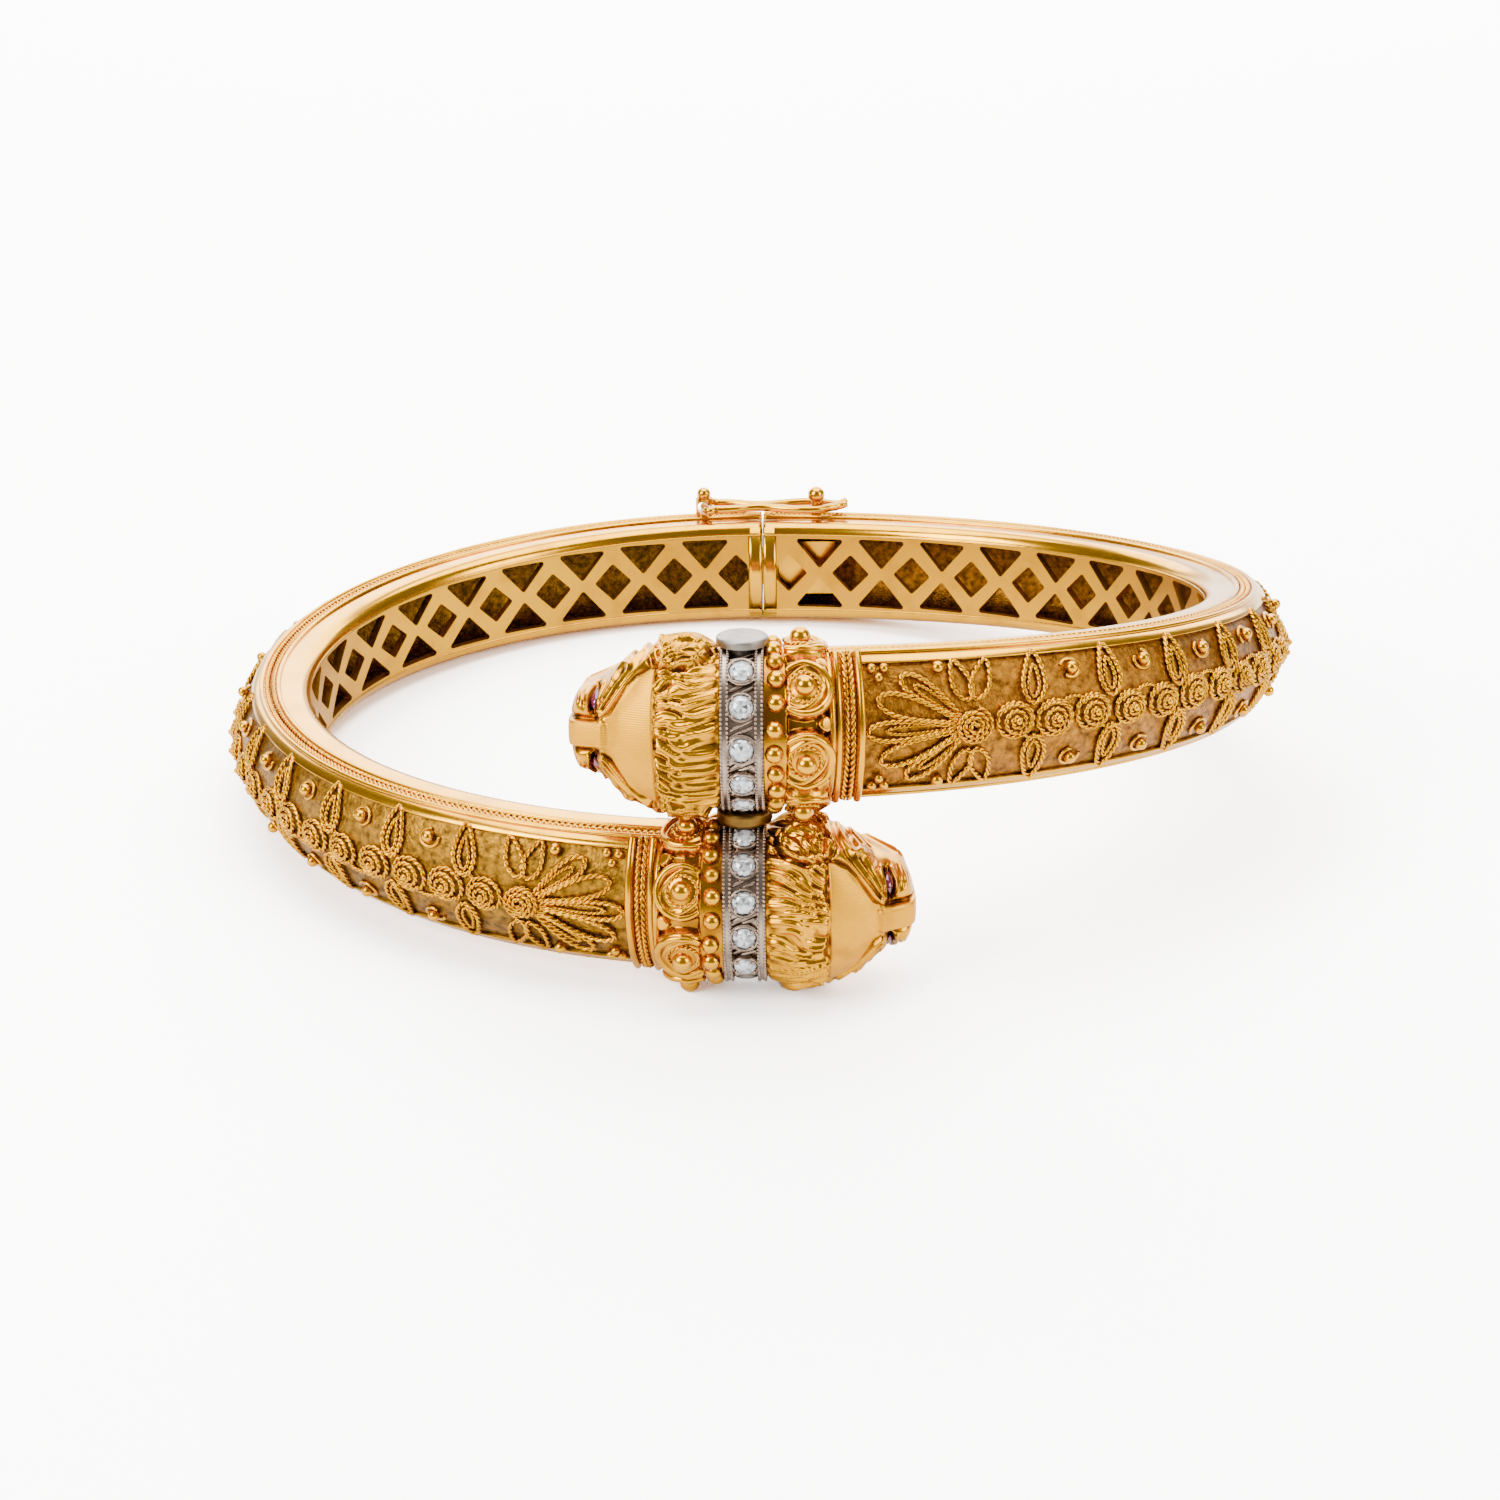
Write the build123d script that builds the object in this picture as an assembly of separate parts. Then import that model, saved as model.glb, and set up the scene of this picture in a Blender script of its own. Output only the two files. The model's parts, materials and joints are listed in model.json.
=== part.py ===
from build123d import *
import os
from itertools import combinations
from math import atan, cos, hypot, pi, radians, sin, tan
import numpy as np

os.makedirs("parts", exist_ok=True)

# Driving dimensions in millimetres and degrees.
# The bangle is drawn with its pivot pin upright at the front and the seam at the back,
# and is laid down on its side at the end. The left half is the right half turned half
# round the Y axis, so one half is drawn.

# The oval and the band
opening_width = 58.0        # inside the gallery, left to right
opening_depth = 46.6        # inside the gallery, front to back
height_back = 7.4           # band height at the seam
height_side = 6.8
height_front = 8.1
lean_share = 0.3            # share of the oval's depth over which the sections start to lean
seam_gap = 0.2
rim_round = 0.9             # round between gallery and flat top
rim_depth = 3.2             # gallery to outer top edge
border_depth = 3.75         # gallery to the face of the wire border
border_height = 0.45
border_step = 0.25          # the ground lies this much below the border
crown_depth = 4.75          # gallery to the crown of the domed ground
shell_wall = 0.6
end_plate = 0.9
arm_stations = 10

# The pierced gallery
gallery_wall = 0.6
gallery_rail = 0.25
gallery_rim = 0.8           # rim left above and below the gallery
gallery_gap = 0.04          # between pieces that are soldered on the real bangle
gallery_pitch = 4.6
gallery_first = 0.9         # end of the strip at the clasp to its first diamond
diamond_gap_width = 2.8
diamond_gap_share = 0.56    # half its height, of the pierced half height
triangle_tip_share = 0.13   # where a triangle's point stands, of the same
lattice_bar = 0.85          # bar between two triangles at the rim
gap_corner = 0.18

# Collars, pin and washer at the crossing
collar_half_height = 4.75
collar_half_depth = 4.1
axis_depth = 2.6            # gallery wall to the axis of collar and head
diamond_collar_length = 2.35
collar_flange = 0.42
collar_channel = 0.3
scroll_collar_length = 2.7
collar_space = 0.2          # between the collars, the band and the head
pin_radius = 0.8
pin_clearance = 0.05
pin_head_radius = 1.45
pin_head_height = 0.45
washer_radius = 1.58
washer_height = 0.95
seat_space = 0.03

# Stones
stone_radius = 0.65
stone_table = 0.38
stone_crown = 0.2
stone_girdle = 0.06
stone_pavilion = 0.36
stone_sides = 12
stone_clearance = 0.06
collet_wall = 0.16
upper_stone_angles = (50, 23, -6, -33, -58)      # from the outward direction, upwards
lower_stone_angles = (74, 50, 23, -3, -30)

# Granules and scrolls of the scroll collar
granule_radius = 0.42
granule_count = 21
boss_radius = 0.55
boss_ring_radius = 0.92
boss_ring_rise = 0.2
boss_count = 7
neck_share = 0.93           # of the collar's size, under the granules
waist_share = 0.84          # at the end by the band
boss_seat_share = 0.985

# Filigree on the ground
end_band_length = 1.5
end_band_rise = 0.55
filigree_rise = 0.4
filigree_space = 0.05
rosette_radius = 0.92
rosette_pitch = 2.25
petal_length = 1.4
edge_petal_length = 1.85
petal_width = 1.25
petal_wire = 0.27
bead_radius = 0.3
granule_inset = 0.92        # border to the middle of an edge granule
fan_petals = 7
fan_spread = 150.0
fan_reach = 6.4
fan_distance = 2.55         # coil to the middle of a fan petal
fan_petal_share = 0.62      # of the width of an edge petal

# Lion's head
head_length = 7.5
head_half_width = 5.0
head_crown = 4.1            # axis to crown
head_jaw = 3.7              # axis to jaw, on the wrist side
head_rows = 40
head_sides = 48
eye_length = 1.3
eye_width = 0.7
eye_rise = 0.3
eye_seat = 0.26             # eye socket to the back of the eye

# Clasp
tongue_length = 4.6
tongue_width = 2.9
tongue_thickness = 0.5
tongue_depth = 2.1          # gallery wall to the middle of the tongue
box_wall = 0.25
box_outward = 0.7           # room outside and inside the tongue's middle
box_inward = 0.5
box_side_room = 0.3
box_length = 4.2

# Safety catch on the top rim
catch_post_x = 4.35         # left of the seam
catch_knob_x = 4.0          # right of the seam
catch_tail_x = 6.2
catch_depth = 2.3           # gallery wall to the catch's middle line
catch_lift = 0.5            # rim to the underside of the loop
catch_thickness = 0.6
catch_half_width = 1.25
catch_window = 1.8
catch_waist = 0.42
eye_hole_radius = 0.85
hinge_bar = 0.6
hinge_clearance = 0.05
post_radius = 0.62
post_ball = 0.5
knob_stem = 0.4
knob_ball = 0.62

half_width = opening_width / 2
half_depth = opening_depth / 2
axis_height = collar_half_height + washer_height / 2 + seat_space
incline = atan(axis_height / (opening_depth + axis_depth))


def oval_lengths():
    """Angles on the gallery's oval with their arc lengths from the pin, at the front."""
    angle = np.radians(np.linspace(-130, 90, 2201))
    x = half_width * np.cos(angle)
    y = half_depth * np.sin(angle)
    length = np.concatenate(([0], np.cumsum(np.hypot(np.diff(x), np.diff(y)))))
    return angle, length - np.interp(-pi / 2, angle, length)


oval_angle, oval_length = oval_lengths()
half_length = float(oval_length[-1])
arm_start = diamond_collar_length / 2 + scroll_collar_length + 2 * collar_space
arm_end = half_length - seam_gap / 2


def station(s):
    """Foot on the gallery wall, outward and upward directions at arc length s from the pin."""
    angle = float(np.interp(s, oval_length, oval_angle))
    x = half_width * cos(angle)
    y = half_depth * sin(angle)
    slope = hypot(half_depth * cos(angle), half_width * sin(angle))
    out_x = half_depth * cos(angle) / slope
    out_y = half_width * sin(angle) / slope
    forward = half_depth - y
    lean = -incline * min(1.0, forward / opening_depth / lean_share)
    outward = Vector(out_x, out_y * cos(lean), out_y * sin(lean))
    upward = Vector(0, -sin(lean), cos(lean))
    return Vector(x, y, tan(incline) * forward), outward, upward


def section_plane(s):
    """Plane across the band: local X runs outward from the gallery, local Y upward."""
    foot, outward, upward = station(s)
    return Plane(origin=foot, x_dir=outward, z_dir=outward.cross(upward))


def face_plane(s, depth, height, tilt=0.0):
    """Plane lying on the band: local X along the arm, local Z outward, tilted over the dome."""
    foot, outward, upward = station(s)
    along = upward.cross(outward)
    normal = outward * cos(tilt) + upward * sin(tilt)
    return Plane(origin=foot + outward * depth + upward * height, x_dir=along, z_dir=normal)


def half_height(s):
    """Half the band's height, eased between its back, side and front values."""
    foot, _, _ = station(s)
    f = (half_depth - foot.Y) / opening_depth
    back = (1 - f) * (1 - 2 * f)
    side = 4 * f * (1 - f)
    front = f * (2 * f - 1)
    return (height_back * back + height_side * side + height_front * front) / 2


def gallery_half(s):
    return half_height(s) - gallery_rim


def mirrored(upper):
    """Closed wire through upper edges and their mirror images below the middle line."""
    lower = [edge.mirror(Plane.XZ) for edge in upper]
    return Wire(list(upper) + lower)


def arm_outline(s):
    """Outside of the band: rounded rim, flat top, border step and domed ground."""
    h = half_height(s)
    edge_z = h - border_height
    upper = [
        Line((0, 0), (0, h - rim_round)),
        RadiusArc((0, h - rim_round), (rim_round, h), rim_round),
        Line((rim_round, h), (rim_depth, h)),
        Line((rim_depth, h), (border_depth, edge_z)),
        Line((border_depth, edge_z), (border_depth - border_step, edge_z)),
        ground_arc(edge_z),
    ]
    return section_plane(s).location * mirrored(upper)


def ground_centre(edge_z):
    """Centre and radius of the ground's arc, which passes its edge and its crown."""
    edge_n = border_depth - border_step
    sag = crown_depth - edge_n
    radius = (edge_z ** 2 + sag ** 2) / (2 * sag)
    return crown_depth - radius, radius


def ground_arc(edge_z):
    centre, radius = ground_centre(edge_z)
    middle_angle = atan(edge_z / (border_depth - border_step - centre)) / 2
    middle = (centre + radius * cos(middle_angle), radius * sin(middle_angle))
    return ThreePointArc((border_depth - border_step, edge_z), middle, (crown_depth, 0))


def cavity_outline(s):
    """Hollow of the band, open to the wrist side where the gallery sits."""
    h = half_height(s)
    g = gallery_half(s)
    back = gallery_wall + 3 * gallery_gap
    roof = h - shell_wall
    edge_n = rim_depth - shell_wall
    sag = crown_depth - shell_wall - edge_n
    radius = (roof ** 2 + sag ** 2) / (2 * sag)
    centre = crown_depth - shell_wall - radius
    middle_angle = atan(roof / (edge_n - centre)) / 2
    middle = (centre + radius * cos(middle_angle), radius * sin(middle_angle))
    upper = [
        Line((-shell_wall, 0), (-shell_wall, g)),
        Line((-shell_wall, g), (back, g)),
        Line((back, g), (back + shell_wall / 2, roof)),
        Line((back + shell_wall / 2, roof), (edge_n, roof)),
        ThreePointArc((edge_n, roof), middle, (crown_depth - shell_wall, 0)),
    ]
    return section_plane(s).location * mirrored(upper)


def strip_outline(s):
    """Section of the gallery strip."""
    g = gallery_half(s) - gallery_gap
    inner = gallery_gap
    outer = gallery_gap + gallery_wall
    upper = [
        Line((inner, 0), (inner, g)),
        Line((inner, g), (outer, g)),
        Line((outer, g), (outer, 0)),
    ]
    return section_plane(s).location * mirrored(upper)


def lofted(outline, start, end, count=arm_stations):
    return Solid.make_loft([outline(float(s)) for s in np.linspace(start, end, count)])


def tongue_block(length, grow_out, grow_in, grow_side, start):
    """Straight block at the seam, centred on the tongue, grown by the given rooms."""
    y_low = half_depth + tongue_depth - tongue_thickness / 2 - grow_in
    y_high = half_depth + tongue_depth + tongue_thickness / 2 + grow_out
    z_half = tongue_width / 2 + grow_side
    block = Box(length, y_high - y_low, 2 * z_half, align=(Align.MIN, Align.MIN, Align.CENTER))
    return Pos(start, y_low, 0) * block


box_out = box_outward - tongue_thickness / 2
box_in = box_inward - tongue_thickness / 2


def arm_shell():
    """Hollow band with closed ends and the clasp's slot through its back end."""
    band = lofted(arm_outline, arm_start, arm_end)
    hollow = lofted(cavity_outline, arm_start + end_plate, arm_end - end_plate)
    slot = tongue_block(3 * end_plate, box_out, box_in, box_side_room, -end_plate)
    return band - hollow - slot


def rounded_prism(points, plane):
    sketch = fillet(Polygon(*points, align=None).vertices(), gap_corner)
    return plane.location * extrude(sketch, 3 * gallery_wall, both=True)


def gallery_span():
    return arm_start + end_plate + gallery_gap, arm_end - end_plate - gallery_gap


def gallery_prisms():
    """Middle row of diamonds, and a row of triangles above and below between them."""
    start, end = gallery_span()
    prisms = []

    def opening_half(s):
        return gallery_half(s) - gallery_gap - gallery_rail

    half = diamond_gap_width / 2
    base = (gallery_pitch - lattice_bar) / 2
    first = end - gallery_first
    for k in range(int((first - start) / gallery_pitch) + 1):
        s = first - k * gallery_pitch
        if s - half > start + gallery_rail:
            tall = diamond_gap_share * opening_half(s)
            corners = [(-half, 0), (0, -tall), (half, 0), (0, tall)]
            prisms.append(rounded_prism(corners, face_plane(s, -gallery_wall, 0)))
        s -= gallery_pitch / 2
        if s - base > start + gallery_rail:
            top = opening_half(s)
            for way in (1, -1):
                corners = [(-base, way * top), (0, way * triangle_tip_share * top), (base, way * top)]
                prisms.append(rounded_prism(corners, face_plane(s, -gallery_wall, 0)))
    return prisms


def gallery():
    start, end = gallery_span()
    strip = lofted(strip_outline, start, end)
    return strip - gallery_prisms()


def end_band():
    """Raised band of wires across the front end of the ground."""
    def outline(s):
        h = half_height(s)
        edge_z = h - border_height
        inner = border_depth + filigree_space
        arc = ground_arc(edge_z)
        inner_arc = Pos(2 * filigree_space, 0) * arc
        inner_start = inner_arc.position_at(0)
        outer = inner + end_band_rise
        crown = crown_depth + end_band_rise
        upper = [
            inner_arc,
            Line(inner_start, (inner, edge_z)),
            Line((inner, edge_z), (inner, h - rim_round / 3)),
            Line((inner, h - rim_round / 3), (outer - 0.2, h - rim_round / 3)),
            ThreePointArc((outer - 0.2, h - rim_round / 3),
                          ((outer + crown) / 2 + 0.12, h * 0.52), (crown, 0)),
        ]
        return section_plane(s).location * mirrored(upper)
    return lofted(outline, arm_start + 0.2, arm_start + 0.2 + end_band_length, 3)


def ground_plane(s, z):
    """Plane resting on the ground at height z above the band's middle line."""
    centre, radius = ground_centre(half_height(s) - border_height)
    tilt = np.arcsin(z / radius)
    depth = centre + (radius + filigree_space) * cos(tilt)
    height = (radius + filigree_space) * sin(tilt)
    return face_plane(s, depth, height, float(tilt))


pattern_start = arm_start + end_band_length + fan_reach + petal_length
pattern_end = arm_end - end_plate - rosette_radius
rosette_total = int((pattern_end - pattern_start) / rosette_pitch) + 1


def rosettes():
    """Row of coiled discs along the middle line, each with a bead."""
    discs = []
    for k in range(rosette_total):
        plane = ground_plane(pattern_start + k * rosette_pitch, 0)
        disc = Cylinder(rosette_radius, filigree_rise, align=(Align.CENTER, Align.CENTER, Align.MIN))
        bead = Pos(0, 0, filigree_rise) * Sphere(bead_radius)
        discs.append(plane.location * (disc + bead))
    return discs


def petal(length, width):
    """Teardrop loop of wire, round end at the origin side and its point along +Y."""
    def teardrop(grow):
        r = width / 2 + grow
        point = length + 1.6 * grow
        touch = (r * cos(radians(20)), r * sin(radians(20)))
        lower = ThreePointArc(touch, (0, -r), (-touch[0], touch[1]))
        return make_face([lower, Line((-touch[0], touch[1]), (0, point)), Line((0, point), touch)])
    return extrude(teardrop(0) - teardrop(-petal_wire), filigree_rise)


def petals():
    """Teardrops along both edges with their points to the border, and the fan at the front."""
    loops = []
    for k in range(0, rosette_total, 2):
        s = pattern_start + (k + 0.5) * rosette_pitch
        edge = half_height(s) - border_height
        bulb = edge - edge_petal_length - petal_wire
        for way in (1, -1):
            plane = ground_plane(s, way * (bulb + edge_petal_length / 3))
            turn = Rot(0, 0, 0 if way > 0 else 180)
            loops.append(plane.location * turn * Pos(0, -edge_petal_length / 3) * petal(edge_petal_length, petal_width))
    return loops


def fan():
    """Petals spread from the first rosette towards the end band."""
    loops = []
    centre_s = pattern_start - rosette_pitch
    plane = ground_plane(centre_s, 0)
    for k in range(fan_petals):
        turn = 90 + fan_spread * (k / (fan_petals - 1) - 0.5)
        sideways = abs(sin(radians(turn - 90)))
        x = -fan_distance * sin(radians(turn))
        y = fan_distance * cos(radians(turn))
        spot = ground_plane(centre_s + x, y)
        size = petal_width * fan_petal_share
        shape = petal(petal_length * (1.1 - 0.2 * sideways), size)
        loops.append(spot.location * Rot(0, 0, turn) * Pos(0, -petal_length / 4) * shape)
    disc = Cylinder(rosette_radius, filigree_rise, align=(Align.CENTER, Align.CENTER, Align.MIN))
    loops.append(plane.location * disc)
    return loops


def granules():
    """Single granules along both edges between the petals."""
    beads = []
    for k in range(1, rosette_total, 2):
        s = pattern_start + (k + 0.5) * rosette_pitch
        edge = half_height(s) - border_height
        for way in (1, -1):
            plane = ground_plane(s, way * (edge - granule_inset))
            ring = Cylinder(1.7 * bead_radius, filigree_rise / 2,
                            align=(Align.CENTER, Align.CENTER, Align.MIN))
            ball = Pos(0, 0, bead_radius * 1.2) * Sphere(bead_radius * 1.2)
            beads.append(plane.location * (ring + ball))
    return beads


def collar_plane(s):
    """Plane across the collar's axis at arc length s, local X outward and local Y upward."""
    foot, outward, upward = station(s)
    origin = foot + outward * axis_depth
    return Plane(origin=origin, x_dir=outward, z_dir=outward.cross(upward))


def oval_disc(depth, height, start, length):
    """Oval slab around the collar's axis; local Z runs towards the head."""
    return Pos(0, 0, start) * extrude(Ellipse(depth, height), length)


def oval_spot(angle, depth, height):
    """Point and outward direction on an oval, at an angle from its outward axis."""
    point = Vector(depth * cos(radians(angle)), height * sin(radians(angle)))
    normal = Vector(cos(radians(angle)) / depth, sin(radians(angle)) / height).normalized()
    return point, normal


def spot_plane(angle, along):
    """Plane on the collar's channel, with local Z pointing out of the collar."""
    depth = collar_half_depth - collar_channel
    height = collar_half_height - collar_channel
    point, normal = oval_spot(angle, depth, height)
    return Plane(origin=point + Vector(0, 0, along), x_dir=Vector(0, 0, 1), z_dir=normal)


def pin_place():
    """The pin's axis crosses the collars' axis at the front."""
    return collar_plane(0).origin.Y


def diamond_collar(angles):
    """Channelled collar with a collet for each stone and the bore of the pivot pin."""
    half = diamond_collar_length / 2
    core = oval_disc(collar_half_depth - collar_channel, collar_half_height - collar_channel,
                     -half, diamond_collar_length)
    for start in (-half, half - collar_flange):
        core += oval_disc(collar_half_depth, collar_half_height, start, collar_flange)
    collet_height = collar_channel * 0.8
    bore_radius = stone_radius + stone_clearance
    for angle in angles:
        spot = spot_plane(angle, 0)
        core += spot.location * Cylinder(bore_radius + collet_wall, 2 * collet_height)
    for angle in angles:
        spot = spot_plane(angle, 0)
        seat = Cylinder(bore_radius, 3 * stone_pavilion)
        core -= spot.location * (Pos(0, 0, collet_height) * seat)
    placed = collar_plane(0).location * core
    bore = Pos(0, pin_place(), axis_height) * Cylinder(pin_radius + pin_clearance, 3 * collar_half_height)
    return placed - bore


def faceted_solid(rings):
    """Closed solid through rings of points, with a triangle fan at each end."""
    faces = []
    for lower, upper in zip(rings[:-1], rings[1:]):
        count = len(lower)
        for i in range(count):
            j = (i + 1) % count
            for trio in ((lower[i], lower[j], upper[j]), (lower[i], upper[j], upper[i])):
                faces.append(Face(Wire.make_polygon(trio, close=True)))
    for ring, flip in ((rings[0], True), (rings[-1], False)):
        hub = sum(ring, Vector(0, 0, 0)) * (1 / len(ring))
        for i in range(len(ring)):
            j = (i + 1) % len(ring)
            trio = (hub, ring[j], ring[i]) if flip else (hub, ring[i], ring[j])
            faces.append(Face(Wire.make_polygon(trio, close=True)))
    return Solid(Shell(faces))


def polygon_ring(radius, sides, z):
    step = 2 * pi / sides
    return [Vector(radius * cos(i * step), radius * sin(i * step), z) for i in range(sides)]


def cut_stone():
    """Round brilliant, simplified: table, crown, girdle and pavilion facets."""
    heights = ((0.12 * stone_radius, -stone_pavilion), (stone_radius, 0),
               (stone_radius, stone_girdle), (stone_table, stone_girdle + stone_crown))
    layers = [Solid.make_loft([Wire.make_polygon(polygon_ring(r1, stone_sides, z1), close=True),
                               Wire.make_polygon(polygon_ring(r2, stone_sides, z2), close=True)], True)
              for (r1, z1), (r2, z2) in zip(heights[:-1], heights[1:])]
    return layers[0] + layers[1:]


def stone_at(angle):
    spot = spot_plane(angle, 0)
    seat_floor = 0.8 * collar_channel - 1.5 * stone_pavilion
    lift = seat_floor + stone_pavilion + seat_space
    return collar_plane(0).location * (spot.location * (Pos(0, 0, lift) * cut_stone()))


def scroll_collar():
    """Waisted barrel with a row of granules by the diamonds and ringed bosses round it."""
    row = 2 * granule_radius
    belly = (row + scroll_collar_length) / 2

    def ring(z, share):
        wire = Ellipse(collar_half_depth * share, collar_half_height * share).wire()
        return Pos(0, 0, z) * wire

    def studs(count, share, z):
        for k in range(count):
            point, normal = oval_spot(360 / count * (k + 0.5), collar_half_depth * share,
                                      collar_half_height * share)
            spot = Plane(origin=point + Vector(0, 0, z), x_dir=Vector(0, 0, 1), z_dir=normal)
            yield spot.location

    neck = oval_disc(collar_half_depth * neck_share, collar_half_height * neck_share, 0, row + granule_radius / 4)
    for spot in studs(granule_count, neck_share, granule_radius + neck_share / 50):
        neck += spot * Sphere(granule_radius)
    barrel = Solid.make_loft([ring(row, neck_share + 0.01), ring(belly, 1.0),
                              ring(scroll_collar_length, waist_share)])
    for spot in studs(boss_count, boss_seat_share, belly):
        barrel += spot * Cylinder(boss_ring_radius, 2 * boss_ring_rise)
        barrel += spot * (Pos(0, 0, boss_ring_rise) * Sphere(boss_radius))
    start = diamond_collar_length / 2 + collar_space
    middle = start + scroll_collar_length / 2
    half_way = collar_plane(middle / 2)
    towards_arm = Plane(origin=collar_plane(middle).origin, x_dir=half_way.x_dir,
                        z_dir=half_way.z_dir * -1)
    return towards_arm.location * (Pos(0, 0, -scroll_collar_length / 2) * (neck + barrel))


# The head's sections: share of its length, then shares of half width, crown and jaw
head_sections = np.array([
    (0.00, 0.90, 0.93, 0.94), (0.10, 0.97, 0.99, 1.00), (0.28, 1.00, 1.00, 1.00),
    (0.45, 0.93, 0.95, 0.99), (0.60, 0.80, 0.86, 0.95), (0.74, 0.67, 0.76, 0.90),
    (0.86, 0.56, 0.68, 0.80), (0.94, 0.44, 0.58, 0.64), (1.00, 0.22, 0.36, 0.36)])

# Relief of one side: share of length, angle from the crown, spreads of both, rise in mm
head_relief = np.array([
    (0.26, 62, 0.130, 15, 0.75),        # ear
    (0.26, 62, 0.060, 8, -0.45),        # hollow of the ear
    (0.64, 44, 0.060, 16, 0.40),        # brow
    (0.76, 46, 0.035, 11, -0.45),       # eye socket
    (0.88, 62, 0.070, 24, 0.45),        # muzzle
    (0.60, 92, 0.070, 13, 0.40),        # cheek
    (0.84, 128, 0.090, 9, -0.45),       # corner of the mouth
    (0.90, 168, 0.070, 20, 0.30)])      # chin
tuft_rise = 0.24
tufts_around = 22
nose_half_angle = 24.0
nose_rise = 0.28


def eased(x, table_x, table_y):
    """Smooth curve through a short table, by Hermite steps between its rows."""
    slope = np.gradient(table_y, table_x)
    k = np.clip(np.searchsorted(table_x, x) - 1, 0, len(table_x) - 2)
    span = table_x[k + 1] - table_x[k]
    t = (x - table_x[k]) / span
    return ((2 * t ** 3 - 3 * t ** 2 + 1) * table_y[k] + (t ** 3 - 2 * t ** 2 + t) * span * slope[k]
            + (3 * t ** 2 - 2 * t ** 3) * table_y[k + 1] + (t ** 3 - t ** 2) * span * slope[k + 1])


def smooth_step(x, low, high):
    t = np.clip((x - low) / (high - low), 0, 1)
    return t * t * (3 - 2 * t)


def head_shape(share, turn):
    """Distance outward and upward from the head's axis, at a share of its length and an
    angle from the crown in degrees."""
    width, crown, jaw = (eased(share, head_sections[:, 0], head_sections[:, i]) for i in (1, 2, 3))
    side = abs((turn + 180) % 360 - 180)
    rise = 0.0
    for at, angle, spread, angle_spread, height in head_relief:
        rise += height * np.exp(-((share - at) / spread) ** 2 - ((side - angle) / angle_spread) ** 2)
    mane = smooth_step(share, 0.03, 0.10) * (1 - smooth_step(share, 0.36, 0.42))
    rise += tuft_rise * mane * np.cos(radians(1) * turn * tufts_around + 9 * share)
    nose = smooth_step(share, 0.70, 0.76) * (1 - smooth_step(side, nose_half_angle - 5, nose_half_angle))
    rise += nose_rise * nose * (1 - smooth_step(share, 0.93, 1.0))
    a = radians(turn)
    squareness = 0.88
    across = np.sign(sin(a)) * abs(sin(a)) ** squareness
    height = np.sign(cos(a)) * abs(cos(a)) ** squareness
    reach = head_crown * crown if height > 0 else head_jaw * jaw
    return reach * height + rise * cos(a), head_half_width * width * across + rise * sin(a)


def head_point(share, turn):
    s = -(diamond_collar_length / 2 + collar_space + head_length * share)
    foot, outward, upward = station(s)
    out, side = head_shape(share, turn)
    return foot + outward * (axis_depth + out) + upward * side


def lion_head():
    """Head carried along the oval past the pin, mane at the collar and nose at the tip."""
    shares = 1 - (1 - np.linspace(0, 1, head_rows)) ** 1.15
    turns = np.linspace(0, 360, head_sides, endpoint=False)
    rings = [[head_point(float(u), float(turn)) for turn in turns] for u in shares]
    return faceted_solid(rings), rings


def ruby_eye(side):
    """Pointed cabochon seated in the eye socket."""
    share, turn = 0.76, side * 46.0
    centre = head_point(share, turn)
    ahead = (head_point(share + 0.02, turn) - head_point(share - 0.02, turn)).normalized()
    around = (head_point(share, turn + 3) - head_point(share, turn - 3)).normalized()
    normal = ahead.cross(around).normalized()
    if normal.dot(centre - collar_plane(-arm_start).origin) < 0:
        normal = normal * -1
    plane = Plane(origin=centre + normal * eye_seat, x_dir=around, z_dir=normal)
    rings = []
    for share_up in (0.0, 0.35, 0.75, 0.95):
        shrink = cos(share_up * pi / 2)
        rings.append([Vector(eye_length / 2 * shrink * cos(a), eye_width / 2 * shrink * sin(a),
                             eye_rise * share_up) for a in np.linspace(0, 2 * pi, 12, endpoint=False)])
    return plane.location * faceted_solid(rings)


def pivot_pin():
    """Riveted pin with a flat head on the upper collar."""
    top = axis_height + collar_half_height + seat_space
    shaft_low = -axis_height - collar_half_height + 4 * seat_space
    y = pin_place()
    shaft = Pos(0, y, shaft_low) * Cylinder(pin_radius, top - shaft_low,
                                            align=(Align.CENTER, Align.CENTER, Align.MIN))
    head = Pos(0, y, top) * Cylinder(pin_head_radius, pin_head_height,
                                     align=(Align.CENTER, Align.CENTER, Align.MIN))
    pin = shaft + head
    return fillet(pin.edges().sort_by(Axis.Z)[-1], pin_head_height * 0.35)


def spacer_washer():
    ring = Cylinder(washer_radius, washer_height) - Cylinder(pin_radius + pin_clearance, 2 * washer_height)
    edges = ring.edges().filter_by(GeomType.CIRCLE).sort_by(SortBy.RADIUS)[-2:]
    return Pos(0, pin_place(), 0) * fillet(edges, washer_height * 0.3)


def clasp_tongue():
    """Plain tongue fixed in the left half's end plate, reaching into the box."""
    inside = end_plate + gallery_rail
    block = tongue_block(inside + tongue_length, 0, 0, 0, -inside)
    return block


def clasp_box():
    """Box inside the right half that takes the tongue."""
    start = seam_gap / 2 + end_plate + collar_space
    outer = tongue_block(box_length, box_out + box_wall, box_in + box_wall,
                         box_side_room + box_wall, start)
    inner = tongue_block(box_length, box_out, box_in, box_side_room, start - box_wall)
    return outer - inner


catch_rim = height_back / 2
catch_y = half_depth + catch_depth
catch_middle = catch_rim + catch_lift + catch_thickness / 2


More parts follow.
